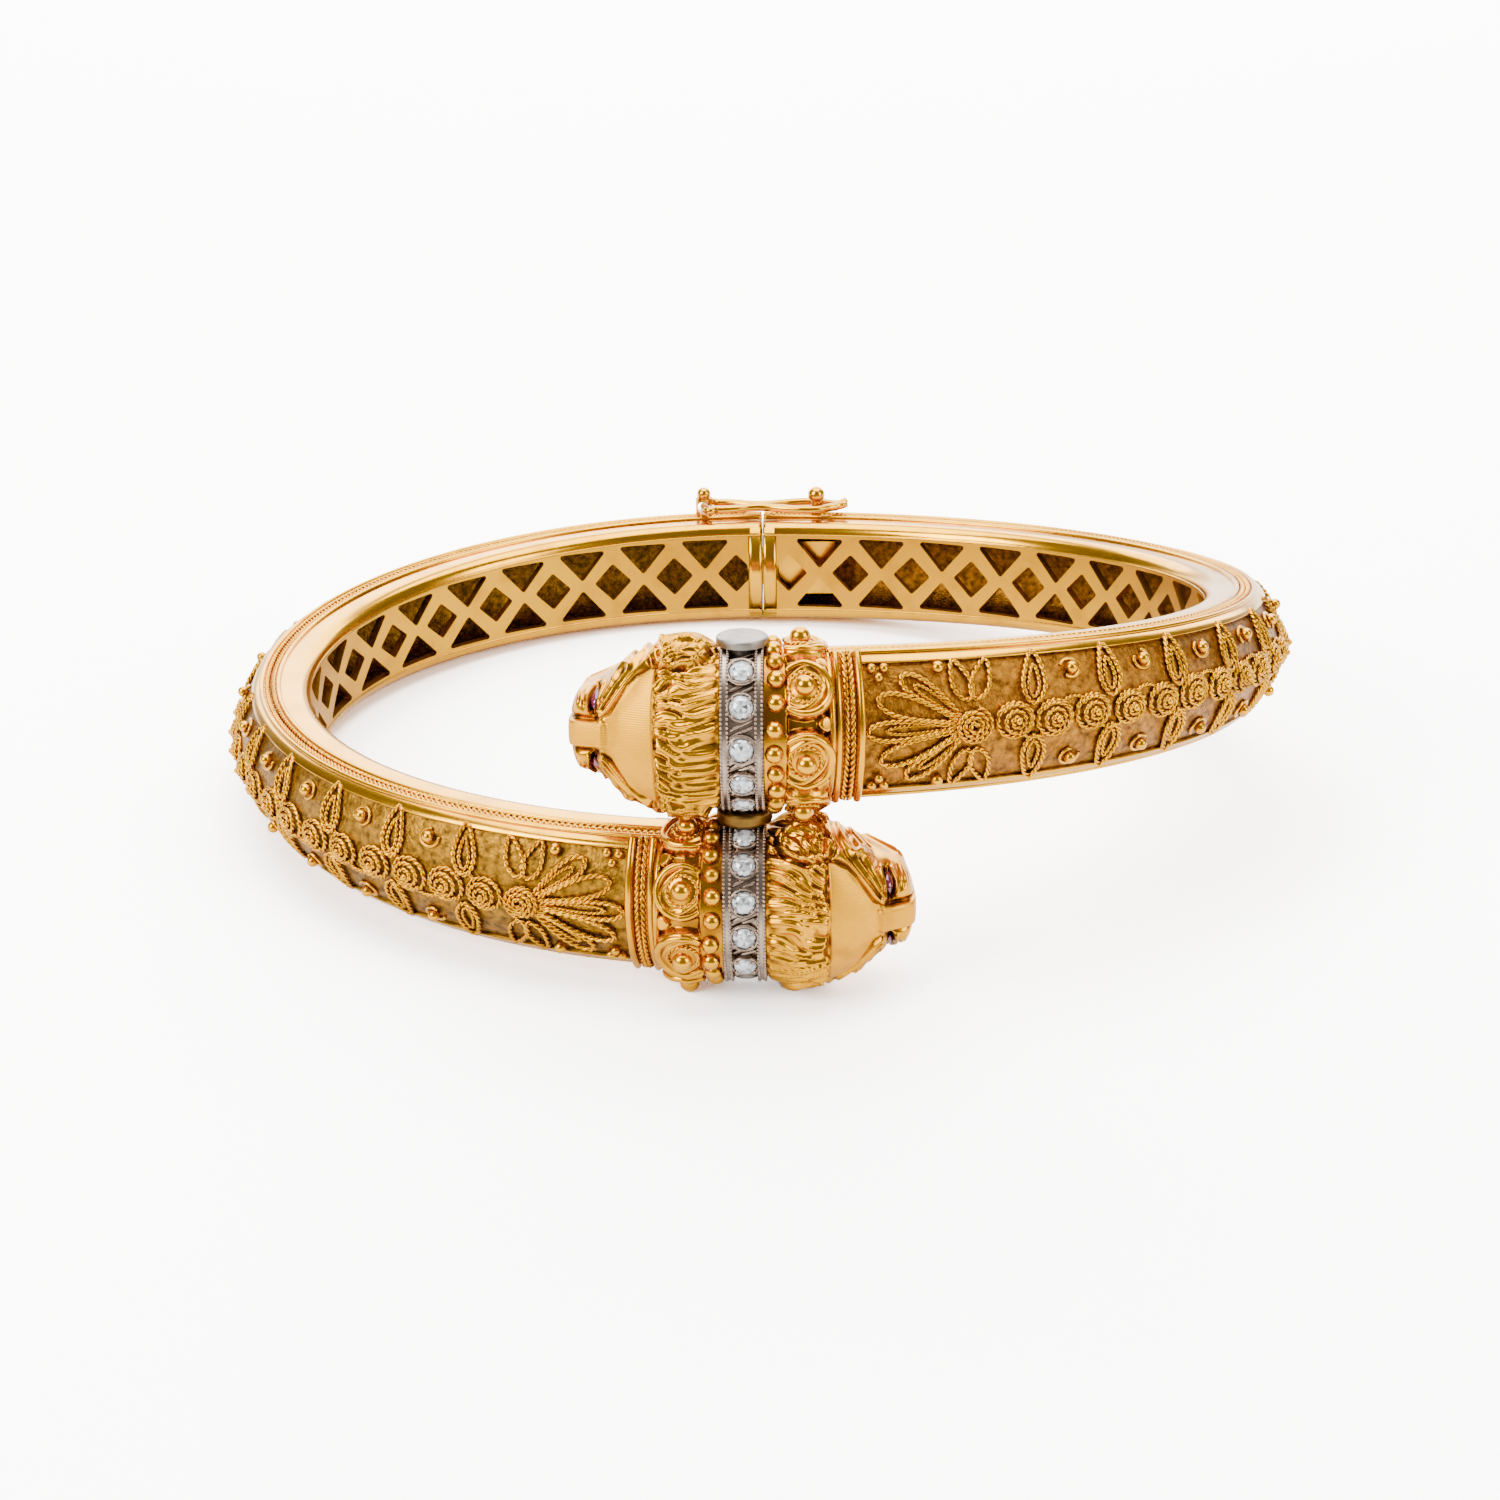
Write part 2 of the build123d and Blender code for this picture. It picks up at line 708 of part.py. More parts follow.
def catch_post():
    """Post with a ball on the left half; the loop's end bar turns in its cross bore."""
    top = catch_rim + catch_lift + catch_thickness + 2 * hinge_clearance + 0.25
    low = catch_rim + seat_space
    post = Pos(-catch_post_x, catch_y, low) * Cylinder(post_radius, top - low,
                                                       align=(Align.CENTER, Align.CENTER, Align.MIN))
    ball = Pos(-catch_post_x, catch_y, top + post_ball * 0.6) * Sphere(post_ball)
    bore_radius = hinge_bar / 2 * 2 ** 0.5 + hinge_clearance
    bore = Pos(-catch_post_x, catch_y, catch_middle) * Rot(90, 0, 0) * Cylinder(bore_radius, 4 * post_radius)
    return post + ball - bore


def catch_knob():
    """Knob on the right half that the loop snaps over."""
    low = catch_rim + seat_space
    top = catch_rim + catch_lift + catch_thickness
    stem = Pos(catch_knob_x, catch_y, low) * Cylinder(knob_stem, top - low + knob_ball,
                                                      align=(Align.CENTER, Align.CENTER, Align.MIN))
    ball = Pos(catch_knob_x, catch_y, top + knob_ball * 0.85) * Sphere(knob_ball)
    return stem + ball


def safety_catch():
    """Flat figure-of-eight loop: hinge bar at the left, waist over the seam, eye and lifting tail."""
    left = -catch_post_x - hinge_bar / 2
    waist_x = (catch_knob_x - catch_post_x) / 2
    upper = [
        Line((left, 0), (left, catch_half_width)),
        Line((left, catch_half_width), (-catch_post_x + 1.2, catch_half_width)),
        Spline((-catch_post_x + 1.2, catch_half_width), (waist_x, catch_waist + hinge_bar / 2),
               (catch_knob_x, catch_half_width + 0.25), tangents=((1, 0), (1, 0))),
        Spline((catch_knob_x, catch_half_width + 0.25), (catch_tail_x - 0.7, catch_waist + 0.1),
               (catch_tail_x, catch_waist + 0.35), tangents=((1, 0), (1, 0.6))),
        Line((catch_tail_x, catch_waist + 0.35), (catch_tail_x, 0)),
    ]
    sheet = extrude(make_face(mirrored(upper)), catch_thickness)
    eye = Pos(catch_knob_x, 0, 0) * Cylinder(eye_hole_radius, 4 * catch_thickness)
    window_left = -catch_post_x + hinge_bar / 2
    window = Pos(window_left, 0, 0) * Box(catch_window, 2 * post_radius + post_ball, 4 * catch_thickness,
                                          align=(Align.MIN, Align.CENTER, Align.CENTER))
    plate = sheet - eye - window
    return Pos(0, catch_y, catch_rim + catch_lift) * plate


half_turn = Rotation(0, 180, 0)


def resting_turn(points, centre):
    """Rotation that lays the bangle on the three points that carry its centre of mass."""
    tilts = np.linspace(-0.25, 0.25, 41)
    found = {int(np.argmin(points[:, 2] - a * points[:, 0] - b * points[:, 1]))
             for a in tilts for b in tilts}
    supports = points[sorted(found)]
    for a, b, c in combinations(supports, 3):
        normal = np.cross(b - a, c - a)
        if abs(normal[2]) < 1e-6:
            continue
        normal = normal / np.linalg.norm(normal) * np.sign(normal[2])
        foot = centre - normal * np.dot(centre - a, normal)
        signs = [np.dot(np.cross(q - p, foot - p), normal) for p, q in ((a, b), (b, c), (c, a))]
        inside = min(signs) >= 0 or max(signs) <= 0
        if inside and np.min((points - a) @ normal) > -1e-6:
            floor = Plane(origin=Vector(*a), x_dir=Vector(*np.cross((0, 1, 0), normal)),
                          z_dir=Vector(*normal))
            return floor.location.inverse()
    raise ValueError("no resting face found")


def rim_points():
    """Points along the band's upper and lower edges, for the resting turn."""
    rows = []
    for s in np.linspace(arm_start, arm_end, 60):
        foot, outward, upward = station(float(s))
        h = half_height(float(s))
        for depth in (rim_round, rim_depth):
            for way in (1, -1):
                rows.append(foot + outward * depth + upward * (way * h))
    return rows


def build():
    """All sub-parts in the upright-pin frame, by node name."""
    head, rings = lion_head()
    right = {
        "right_arm": [arm_shell()],
        "right_gallery": [gallery()],
        "right_end_band": [end_band()],
        "right_rosettes": rosettes(),
        "right_petals": petals(),
        "right_fan": fan(),
        "right_granules": granules(),
        "upper_scroll_collar": [scroll_collar()],
        "upper_lion_head": [head],
        "upper_eye_1": [ruby_eye(1)],
        "upper_eye_2": [ruby_eye(-1)],
    }
    nodes = dict(right)
    for name, solids in right.items():
        other = name.replace("right", "left").replace("upper", "lower")
        nodes[other] = [half_turn * solid for solid in solids]
    nodes["upper_diamond_collar"] = [diamond_collar(upper_stone_angles)]
    turned = [-angle for angle in lower_stone_angles]
    nodes["lower_diamond_collar"] = [half_turn * diamond_collar(turned)]
    for k, angle in enumerate(upper_stone_angles):
        nodes[f"upper_diamond_{k + 1}"] = [stone_at(angle)]
    for k, angle in enumerate(turned):
        nodes[f"lower_diamond_{k + 1}"] = [half_turn * stone_at(angle)]
    nodes["pivot_pin"] = [pivot_pin()]
    nodes["spacer_washer"] = [spacer_washer()]
    nodes["clasp_tongue"] = [clasp_tongue()]
    nodes["clasp_box"] = [clasp_box()]
    nodes["catch_post"] = [catch_post()]
    nodes["catch_knob"] = [catch_knob()]
    nodes["safety_catch"] = [safety_catch()]
    points = [p for ring in rings for p in ring] + rim_points()
    cloud = np.array([(p.X, p.Y, p.Z) for p in points])
    cloud = np.vstack((cloud, cloud * (-1, 1, -1)))
    return nodes, cloud


def main():
    nodes, cloud = build()
    solids = [solid for group in nodes.values() for solid in group]
    volume = sum(solid.volume for solid in solids)
    centre = sum((solid.center(CenterOf.MASS) * solid.volume for solid in solids), Vector(0, 0, 0)) * (1 / volume)
    laid = resting_turn(cloud, np.array((centre.X, centre.Y, centre.Z)))
    placed = {name: [laid * solid for solid in group] for name, group in nodes.items()}
    boxes = [solid.bounding_box() for group in placed.values() for solid in group]
    low = Vector(min(b.min.X for b in boxes), min(b.min.Y for b in boxes), min(b.min.Z for b in boxes))
    high = Vector(max(b.max.X for b in boxes), max(b.max.Y for b in boxes), max(b.max.Z for b in boxes))
    shift = Pos(-(low.X + high.X) / 2, -(low.Y + high.Y) / 2, -low.Z)
    for name, group in placed.items():
        moved = [shift * solid for solid in group]
        export_step(moved[0] if len(moved) == 1 else Compound(moved), f"parts/{name}.step")
    frame = shift * laid
    print("pin frame to row frame", [round(v, 5) for v in frame.to_tuple()[0]],
          [round(v, 5) for v in frame.to_tuple()[1]])
    print("size", high - low, "volume", round(volume, 1))


main()
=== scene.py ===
import bpy
import json
import math
import numpy as np
from mathutils import Matrix, Vector


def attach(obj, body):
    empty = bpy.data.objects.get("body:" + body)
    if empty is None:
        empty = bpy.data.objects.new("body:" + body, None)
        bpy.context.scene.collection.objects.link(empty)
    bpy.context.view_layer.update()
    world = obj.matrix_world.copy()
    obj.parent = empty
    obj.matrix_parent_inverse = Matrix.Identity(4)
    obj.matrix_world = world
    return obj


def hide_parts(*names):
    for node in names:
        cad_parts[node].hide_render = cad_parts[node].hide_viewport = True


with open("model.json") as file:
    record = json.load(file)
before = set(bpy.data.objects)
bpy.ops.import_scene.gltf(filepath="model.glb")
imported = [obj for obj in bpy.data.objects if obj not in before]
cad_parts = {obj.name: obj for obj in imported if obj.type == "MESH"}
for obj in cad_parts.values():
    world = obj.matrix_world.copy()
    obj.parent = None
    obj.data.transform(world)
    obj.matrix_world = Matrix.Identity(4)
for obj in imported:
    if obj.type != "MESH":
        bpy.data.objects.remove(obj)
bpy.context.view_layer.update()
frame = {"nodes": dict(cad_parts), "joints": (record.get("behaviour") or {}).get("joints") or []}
print("frame loaded")

# All lengths are millimetres in the pin frame until toRow makes them metres in the row frame.
# The pin frame has the pivot pin upright, the crossed heads at -Y and the seam at +Y.
# The row frame has the bangle as it rests on the floor, as the loaded pieces have it.
oval = {"halfWidth": 29.0, "halfDepth": 23.3, "heightBack": 7.4, "heightSide": 6.8,
        "heightFront": 8.1, "leanShare": 0.3}
band = {"rimRound": 0.9, "rimDepth": 3.2, "borderDepth": 3.75, "borderHeight": 0.45,
        "step": 0.25, "crown": 4.75, "wall": 0.6, "galleryRim": 0.8, "seam": 0.2,
        "plate": 0.9, "lip": 0.05, "inset": 0.02, "rows": 220}
collar = {"halfHeight": 4.75, "halfDepth": 4.1, "axis": 2.6, "length": 2.35, "flange": 0.42,
          "channel": 0.3, "space": 0.2, "scrollLength": 2.7, "washer": 0.95, "seat": 0.03}

axisHeight = collar["halfHeight"] + collar["washer"] / 2 + collar["seat"]
incline = math.atan(axisHeight / (2 * oval["halfDepth"] + collar["axis"]))
joints = {j["name"]: j for j in frame["joints"]}
pinUp = np.array(joints["front_pivot"]["axis"])
pinBack = -np.array(joints["catch_hinge"]["axis"])
turnRow = np.stack([np.cross(pinBack, pinUp), pinBack, pinUp], axis=1)
pinY = -(oval["halfDepth"] + collar["axis"] * math.cos(incline))
rowOrigin = np.array(joints["front_pivot"]["pos_m"]) - turnRow @ np.array((0, pinY, 0)) / 1000
armStart = collar["length"] / 2 + collar["scrollLength"] + 2 * collar["space"]


def toRow(p):  # pin-frame millimetres to row-frame metres
    return np.asarray(p, dtype=float) @ turnRow.T / 1000 + rowOrigin


def half(p, side):  # the left half is the right half turned half round the Y axis
    return p if side > 0 else p * np.array((-1.0, 1.0, -1.0))


ovalAngle = np.radians(np.linspace(-130, 90, 2201))
ovalX = oval["halfWidth"] * np.cos(ovalAngle)
ovalY = oval["halfDepth"] * np.sin(ovalAngle)
ovalLength = np.concatenate(([0], np.cumsum(np.hypot(np.diff(ovalX), np.diff(ovalY)))))
ovalLength = ovalLength - np.interp(-math.pi / 2, ovalAngle, ovalLength)
armEnd = float(ovalLength[-1]) - band["seam"] / 2


def station(s):
    # Foot on the gallery wall, outward and upward unit vectors, for arc lengths s from the pin.
    s = np.asarray(s, dtype=float)
    t = np.interp(s, ovalLength, ovalAngle)
    a, b = oval["halfWidth"], oval["halfDepth"]
    slope = np.hypot(b * np.cos(t), a * np.sin(t))
    nx, ny = b * np.cos(t) / slope, a * np.sin(t) / slope
    forward = b - b * np.sin(t)
    lean = -incline * np.minimum(1, forward / (2 * b) / oval["leanShare"])
    zero = np.zeros_like(nx)
    foot = np.stack([a * np.cos(t), b * np.sin(t), math.tan(incline) * forward], -1)
    out = np.stack([nx, ny * np.cos(lean), ny * np.sin(lean)], -1)
    up = np.stack([zero, -np.sin(lean), np.cos(lean)], -1)
    return foot, out, up


def halfHeight(s):
    foot, _, _ = station(s)
    f = (oval["halfDepth"] - foot[..., 1]) / (2 * oval["halfDepth"])
    return (oval["heightBack"] * (1 - f) * (1 - 2 * f) + oval["heightSide"] * 4 * f * (1 - f)
            + oval["heightFront"] * f * (2 * f - 1)) / 2


def place(s, n, z):  # point at arc length s, n outward of the gallery wall and z above the middle
    foot, out, up = station(s)
    return foot + out * np.asarray(n)[..., None] + up * np.asarray(z)[..., None]


def groundArc(s):
    edge = halfHeight(s) - band["borderHeight"]
    edgeDepth = band["borderDepth"] - band["step"]
    sag = band["crown"] - edgeDepth
    radius = (edge ** 2 + sag ** 2) / (2 * sag)
    return band["crown"] - radius, radius


def groundTop(s):  # arc length on the ground from the middle line to its edge
    edge = halfHeight(np.array([s]))[0] - band["borderHeight"]
    radius = groundArc(np.array([s]))[1][0]
    return math.asin(edge / radius) * radius


def onGround(s, z, lift=0.0):
    # Point lifted off the domed ground: z is measured along the arc from the middle line.
    s, z = np.broadcast_arrays(np.asarray(s, float), np.asarray(z, float))
    centre, radius = groundArc(s)
    angle = z / radius
    r = radius + lift
    return place(s, centre + r * np.cos(angle), r * np.sin(angle))


def groundNormal(s, z):
    d = onGround(s, z, 0.5) - onGround(s, z, 0.0)
    return d / np.linalg.norm(d, axis=-1, keepdims=True)


# Mesh helpers

def makeObject(name, verts, faces, body, material, smooth=True, replaced=(), marks=None,
               second=None):
    # marks are named attributes, second is another material with the mask of its faces
    mesh = bpy.data.meshes.new(name)
    verts = np.asarray(verts, dtype=np.float32)
    faces = np.asarray(faces, dtype=np.int32)
    mesh.vertices.add(len(verts))
    mesh.vertices.foreach_set("co", verts.ravel())
    corner = faces != np.roll(faces, -1, axis=1)  # a triangle is a quad with one corner written twice
    counts = corner.sum(1)
    mesh.loops.add(int(counts.sum()))
    mesh.loops.foreach_set("vertex_index", faces[corner])
    mesh.polygons.add(len(faces))
    starts = np.concatenate(([0], np.cumsum(counts)[:-1]))
    mesh.polygons.foreach_set("loop_start", starts.astype(np.int32))
    if smooth:
        mesh.polygons.foreach_set("use_smooth", np.ones(len(faces), dtype=bool))
    mesh.update(calc_edges=True)
    for key, values in (marks or {}).items():
        attribute = mesh.attributes.new(key, "FLOAT", "POINT" if len(values) == len(verts) else "FACE")
        attribute.data.foreach_set("value", np.asarray(values, dtype=np.float32))
    if second is not None:
        mesh.polygons.foreach_set("material_index", second[1].astype(np.int32))
    mesh.validate()
    obj = bpy.data.objects.new(name, mesh)
    bpy.context.scene.collection.objects.link(obj)
    mesh.materials.append(material)
    if second is not None:
        mesh.materials.append(second[0])
    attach(obj, body)
    if replaced:
        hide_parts(*replaced)
    return obj


def gridFaces(rows, columns, wrapRows=False, wrapColumns=False):
    # Quads of a grid of points, row by row, wrapping where a direction is closed.
    i = np.arange(rows if wrapRows else rows - 1)
    j = np.arange(columns if wrapColumns else columns - 1)
    i, j = np.meshgrid(i, j, indexing="ij")
    i2, j2 = (i + 1) % rows, (j + 1) % columns
    corners = (i * columns + j, i * columns + j2, i2 * columns + j2, i2 * columns + j)
    return np.stack(corners, -1).reshape(-1, 4)


def joined(parts):  # one vertex and face array from several
    verts, faces, start = [], [], 0
    for v, f in parts:
        verts.append(v)
        faces.append(f + start)
        start += len(v)
    return np.concatenate(verts), np.concatenate(faces)


def hubFaces(first, sides, hub, way):
    # Triangles from a ring of points to its hub, each a quad with the hub written twice.
    k = np.arange(sides)
    start, end = (k, (k + 1) % sides)[::way]
    return np.stack([first + start, first + end, k * 0 + hub, k * 0 + hub], -1)


def capped(rows):
    # Closes a tube of rows of points with a point at the middle of each end.
    count, sides = rows.shape[:2]
    hub = count * sides
    verts = np.concatenate((rows.reshape(-1, 3), rows[:1].mean(1), rows[-1:].mean(1)))
    return verts, np.concatenate((gridFaces(count, sides, wrapColumns=True), hubFaces(0, sides, hub, -1),
                                  hubFaces(hub - sides, sides, hub + 1, 1)))


def orient(verts, faces):
    # Turns the faces of a closed surface outward: its signed volume has to be positive.
    a, b, c, d = (verts[faces[:, k]] for k in range(4))
    volume = (np.cross(a, b) * c).sum() + (np.cross(a, c) * d).sum()
    return faces if volume > 0 else faces[:, ::-1]


def pathFrame(path, normals, closed):
    # Unit vectors along a path and across it, square to its normals.
    ahead = np.roll(path, -1, 0) - np.roll(path, 1, 0) if closed else np.gradient(path, axis=0)
    ahead /= np.linalg.norm(ahead, axis=1, keepdims=True) + 1e-12
    across = np.cross(ahead, normals)
    across /= np.linalg.norm(across, axis=1, keepdims=True) + 1e-12
    return ahead, across


def tube(path, normals, radius, sides, closed=False):
    # Round wire: a circle of the radius carried along the path, square to its direction.
    ahead, across = pathFrame(path, normals, closed)
    up = np.cross(across, ahead)
    a = np.linspace(0, 2 * math.pi, sides, endpoint=False)
    r = np.broadcast_to(np.asarray(radius, float), (len(path),))[:, None, None]
    ring = path[:, None] + r * (np.cos(a)[None, :, None] * across[:, None]
                                + np.sin(a)[None, :, None] * up[:, None])
    if closed:
        return ring.reshape(-1, 3), gridFaces(len(path), sides, wrapRows=True, wrapColumns=True)
    return capped(ring)


def evenPath(points, normals, step, closed=False):
    # Resamples a path at even steps, with its normals.
    if closed:
        points = np.concatenate((points, points[:1]))
        normals = np.concatenate((normals, normals[:1]))
    lengths = np.concatenate(([0], np.cumsum(np.linalg.norm(np.diff(points, axis=0), axis=1))))
    count = max(6, int(round(lengths[-1] / step)))
    at = np.linspace(0, lengths[-1], count, endpoint=not closed)
    p = np.stack([np.interp(at, lengths, points[:, k]) for k in range(3)], -1)
    n = np.stack([np.interp(at, lengths, normals[:, k]) for k in range(3)], -1)
    return p, n / np.linalg.norm(n, axis=1, keepdims=True), at


# Twisted wire, as shares of its radius: the pitch, and each strand's offset and radius
strand = {"pitch": 4.2, "offset": 0.5, "radius": 0.56, "sides": 4, "stepsPerTurn": 5}


def rope(points, normals, radius, way=1, closed=False):
    # Two strands wound round a path: each is a circle carried along a helix.
    pitch = radius * strand["pitch"]
    p, n, at = evenPath(points, normals, pitch / strand["stepsPerTurn"], closed)
    across = pathFrame(p, n, closed)[1]
    total = at[-1] + (at[1] - at[0] if closed else 0)
    turns = max(1, round(total / pitch)) if closed else total / pitch
    angle = way * 2 * math.pi * turns * at / total
    parts = []
    for phase in (0, math.pi):
        a = (angle + phase)[:, None]
        line = p + radius * strand["offset"] * (np.cos(a) * across + np.sin(a) * n)
        parts.append(tube(line, n, radius * strand["radius"], strand["sides"], closed))
    return joined(parts)


def balls(centres, radii, rows, sides):
    # Spheres as joined grids: latitude rows by longitude sides, closed by pole points.
    centres = np.asarray(centres, float).reshape(-1, 3)
    radii = np.broadcast_to(np.asarray(radii, float), (len(centres),))
    lat = np.linspace(-math.pi / 2, math.pi / 2, rows + 2)[1:-1]
    lon = np.linspace(0, 2 * math.pi, sides, endpoint=False)
    la, lo = np.meshgrid(lat, lon, indexing="ij")
    unit = np.stack([np.cos(la) * np.cos(lo), np.cos(la) * np.sin(lo), np.sin(la)], -1).reshape(-1, 3)
    unit = np.concatenate((unit, [(0, 0, -1), (0, 0, 1)]))
    count = len(unit)
    verts = centres[:, None] + unit[None] * radii[:, None, None]
    one = np.concatenate((gridFaces(rows, sides, wrapColumns=True), hubFaces(0, sides, count - 2, -1),
                          hubFaces((rows - 1) * sides, sides, count - 1, 1)))
    faces = (one[None] + (np.arange(len(centres)) * count)[:, None, None]).reshape(-1, 4)
    return verts.reshape(-1, 3), faces


# Materials

def socket(group, name, kind, way, value=None):
    item = group.interface.new_socket(name=name, in_out=way, socket_type=kind)
    if value is not None:
        item.default_value = value
    return item


def link(tree, a, b):
    tree.links.new(a, b)


def buildGoldGroup():
    # Colour, roughness and height of worn gold: cloudy tone, fine scratches, and a dark colour mixed in by a
    # mask, which is tarnish, the ground's own dark colour, and painted shade in recesses and inside the hollow.
    g = bpy.data.node_groups.new("wornAndShadedGold", "ShaderNodeTree")
    socket(g, "Bright", "NodeSocketColor", "INPUT", (0.9, 0.6, 0.2, 1))
    socket(g, "TarnishAndShade", "NodeSocketColor", "INPUT", (0.3, 0.1, 0.02, 1))
    socket(g, "Mask", "NodeSocketFloat", "INPUT", 0.0)
    socket(g, "Cloud", "NodeSocketFloat", "INPUT", 600.0)
    socket(g, "Grain", "NodeSocketFloat", "INPUT", 9000.0)
    socket(g, "Polish", "NodeSocketFloat", "INPUT", 0.2)
    socket(g, "Color", "NodeSocketColor", "OUTPUT")
    socket(g, "Roughness", "NodeSocketFloat", "OUTPUT")
    socket(g, "Height", "NodeSocketFloat", "OUTPUT")
    n = g.nodes
    gin, gout = n.new("NodeGroupInput"), n.new("NodeGroupOutput")
    coord = n.new("ShaderNodeTexCoord")
    cloud, grain = n.new("ShaderNodeTexNoise"), n.new("ShaderNodeTexNoise")
    cloud.inputs["Detail"].default_value = 5
    grain.inputs["Detail"].default_value = 3
    for node, key in ((cloud, "Cloud"), (grain, "Grain")):
        link(g, coord.outputs["Object"], node.inputs["Vector"])
        link(g, gin.outputs[key], node.inputs["Scale"])
    spread = n.new("ShaderNodeMapRange")
    spread.inputs["From Min"].default_value = 0.35
    spread.inputs["From Max"].default_value = 0.7
    spread.inputs["To Min"].default_value = -0.34
    spread.inputs["To Max"].default_value = 0.34
    link(g, cloud.outputs["Fac"], spread.inputs["Value"])
    add = n.new("ShaderNodeMath")
    add.use_clamp = True
    link(g, gin.outputs["Mask"], add.inputs[0])
    link(g, spread.outputs["Result"], add.inputs[1])
    mix = n.new("ShaderNodeMix")
    mix.data_type = "RGBA"
    link(g, add.outputs[0], mix.inputs["Factor"])
    link(g, gin.outputs["Bright"], mix.inputs[6])
    link(g, gin.outputs["TarnishAndShade"], mix.inputs[7])
    link(g, mix.outputs[2], gout.inputs["Color"])
    rough = n.new("ShaderNodeMath")
    rough.operation = "MULTIPLY_ADD"
    rough.inputs[1].default_value = 0.22
    link(g, cloud.outputs["Fac"], rough.inputs[0])
    link(g, gin.outputs["Polish"], rough.inputs[2])
    link(g, rough.outputs[0], gout.inputs["Roughness"])
    link(g, grain.outputs["Fac"], gout.inputs["Height"])
    return g


wornAndShadedGold = buildGoldGroup()


def goldMaterial(name, bright, tarnishAndShade, polish, bump, depth=0.00002, maskName=None, maskGain=1.0,
                 maskShift=0.0, cloud=500.0, grain=9000.0):
    # the mask turns bright to the dark colour, which is tarnish and painted shade; cloud and grain are noise
    # scales, depth is the bump's in metres
    m = bpy.data.materials.new(name)
    m.use_nodes = True
    t = m.node_tree
    shader = t.nodes["Principled BSDF"]
    shader.inputs["Metallic"].default_value = 1.0
    g = t.nodes.new("ShaderNodeGroup")
    g.node_tree = wornAndShadedGold
    g.inputs["Bright"].default_value = (*bright, 1)
    g.inputs["TarnishAndShade"].default_value = (*tarnishAndShade, 1)
    g.inputs["Polish"].default_value = polish
    g.inputs["Cloud"].default_value = cloud
    g.inputs["Grain"].default_value = grain
    if maskName:
        a = t.nodes.new("ShaderNodeAttribute")
        a.attribute_name = maskName
        gain = t.nodes.new("ShaderNodeMath")
        gain.operation = "MULTIPLY_ADD"
        gain.inputs[1].default_value = maskGain
        gain.inputs[2].default_value = maskShift
        link(t, a.outputs["Fac"], gain.inputs[0])
        link(t, gain.outputs[0], g.inputs["Mask"])
    else:
        g.inputs["Mask"].default_value = maskShift
    link(t, g.outputs["Color"], shader.inputs["Base Color"])
    link(t, g.outputs["Roughness"], shader.inputs["Roughness"])
    b = t.nodes.new("ShaderNodeBump")
    b.inputs["Strength"].default_value = bump
    b.inputs["Distance"].default_value = depth
    link(t, g.outputs["Height"], b.inputs["Height"])
    link(t, b.outputs["Normal"], shader.inputs["Normal"])
    return m


def satinBump(m, strength):
    # Adds fine engraved lines where the satin mask is on: a sine of the offset across the crown.
    t = m.node_tree
    shader = t.nodes["Principled BSDF"]
    old = shader.inputs["Normal"].links[0].from_node
    brush, satin = (t.nodes.new("ShaderNodeAttribute") for _ in range(2))
    brush.attribute_name, satin.attribute_name = "brush", "satin"
    scale, wave, amount = (t.nodes.new("ShaderNodeMath") for _ in range(3))
    scale.operation, wave.operation, amount.operation = "MULTIPLY", "SINE", "MULTIPLY"
    scale.inputs[1].default_value = 52.0  # radians to the mm
    link(t, brush.outputs["Fac"], scale.inputs[0])
    link(t, scale.outputs[0], wave.inputs[0])
    link(t, wave.outputs[0], amount.inputs[0])
    link(t, satin.outputs["Fac"], amount.inputs[1])
    b = t.nodes.new("ShaderNodeBump")
    b.inputs["Strength"].default_value = strength
    b.inputs["Distance"].default_value = 0.00001
    link(t, amount.outputs[0], b.inputs["Height"])
    link(t, old.outputs["Normal"], b.inputs["Normal"])
    link(t, b.outputs["Normal"], shader.inputs["Normal"])
    rough = shader.inputs["Roughness"].links[0].from_socket
    add = t.nodes.new("ShaderNodeMath")
    add.operation = "MULTIPLY_ADD"
    add.inputs[1].default_value = 0.2
    link(t, satin.outputs["Fac"], add.inputs[0])
    link(t, rough, add.inputs[2])
    link(t, add.outputs[0], shader.inputs["Roughness"])
    return m


paint = {
    "rim": goldMaterial("polishedRim", (0.60, 0.285, 0.004), (0.30, 0.11, 0.004), 0.08, 0.12, maskShift=0.05),
    "ground": goldMaterial("stippledGroundAndHollowShade", (0.42, 0.172, 0.012), (0.055, 0.018, 0.004), 0.28, 1.0,
                           0.00008, "ground", 0.6, -0.02, 2300.0, 6500.0),
    "oliveGroundAndHollowShade": goldMaterial("oliveGroundAndHollowShade", (0.42, 0.195, 0.010), (0.042, 0.021, 0.004), 0.28, 1.0,
                                0.00008, "ground", 0.6, 0.0, 2300.0, 6500.0),
    "gallery": goldMaterial("satinGallery", (0.50, 0.235, 0.004), (0.30, 0.125, 0.004), 0.26, 0.25,
                            maskShift=0.05),
    "wire": goldMaterial("twistedWire", (0.63, 0.29, 0.0), (0.24, 0.085, 0.002), 0.14, 0.15, maskShift=0.04),
    "head": satinBump(goldMaterial("chasedGold", (0.62, 0.275, 0.0), (0.13, 0.038, 0.002), 0.13, 0.25,
                                   maskName="creviceTarnishAndShade", cloud=450.0), 0.5),
    "clasp": goldMaterial("claspGold", (0.60, 0.29, 0.006), (0.26, 0.11, 0.01), 0.10, 0.1, maskShift=0.05),
    "white": goldMaterial("whiteMetal", (0.33, 0.245, 0.185), (0.04, 0.026, 0.018), 0.16, 0.3,
                          maskShift=0.2, cloud=900.0),
    "grey": goldMaterial("greyMetal", (0.22, 0.195, 0.165), (0.10, 0.08, 0.06), 0.34, 0.6,
                         maskShift=0.15, cloud=1500.0),
    "dark": goldMaterial("darkBrass", (0.20, 0.105, 0.02), (0.03, 0.015, 0.006), 0.26, 0.3, maskShift=0.3),
}


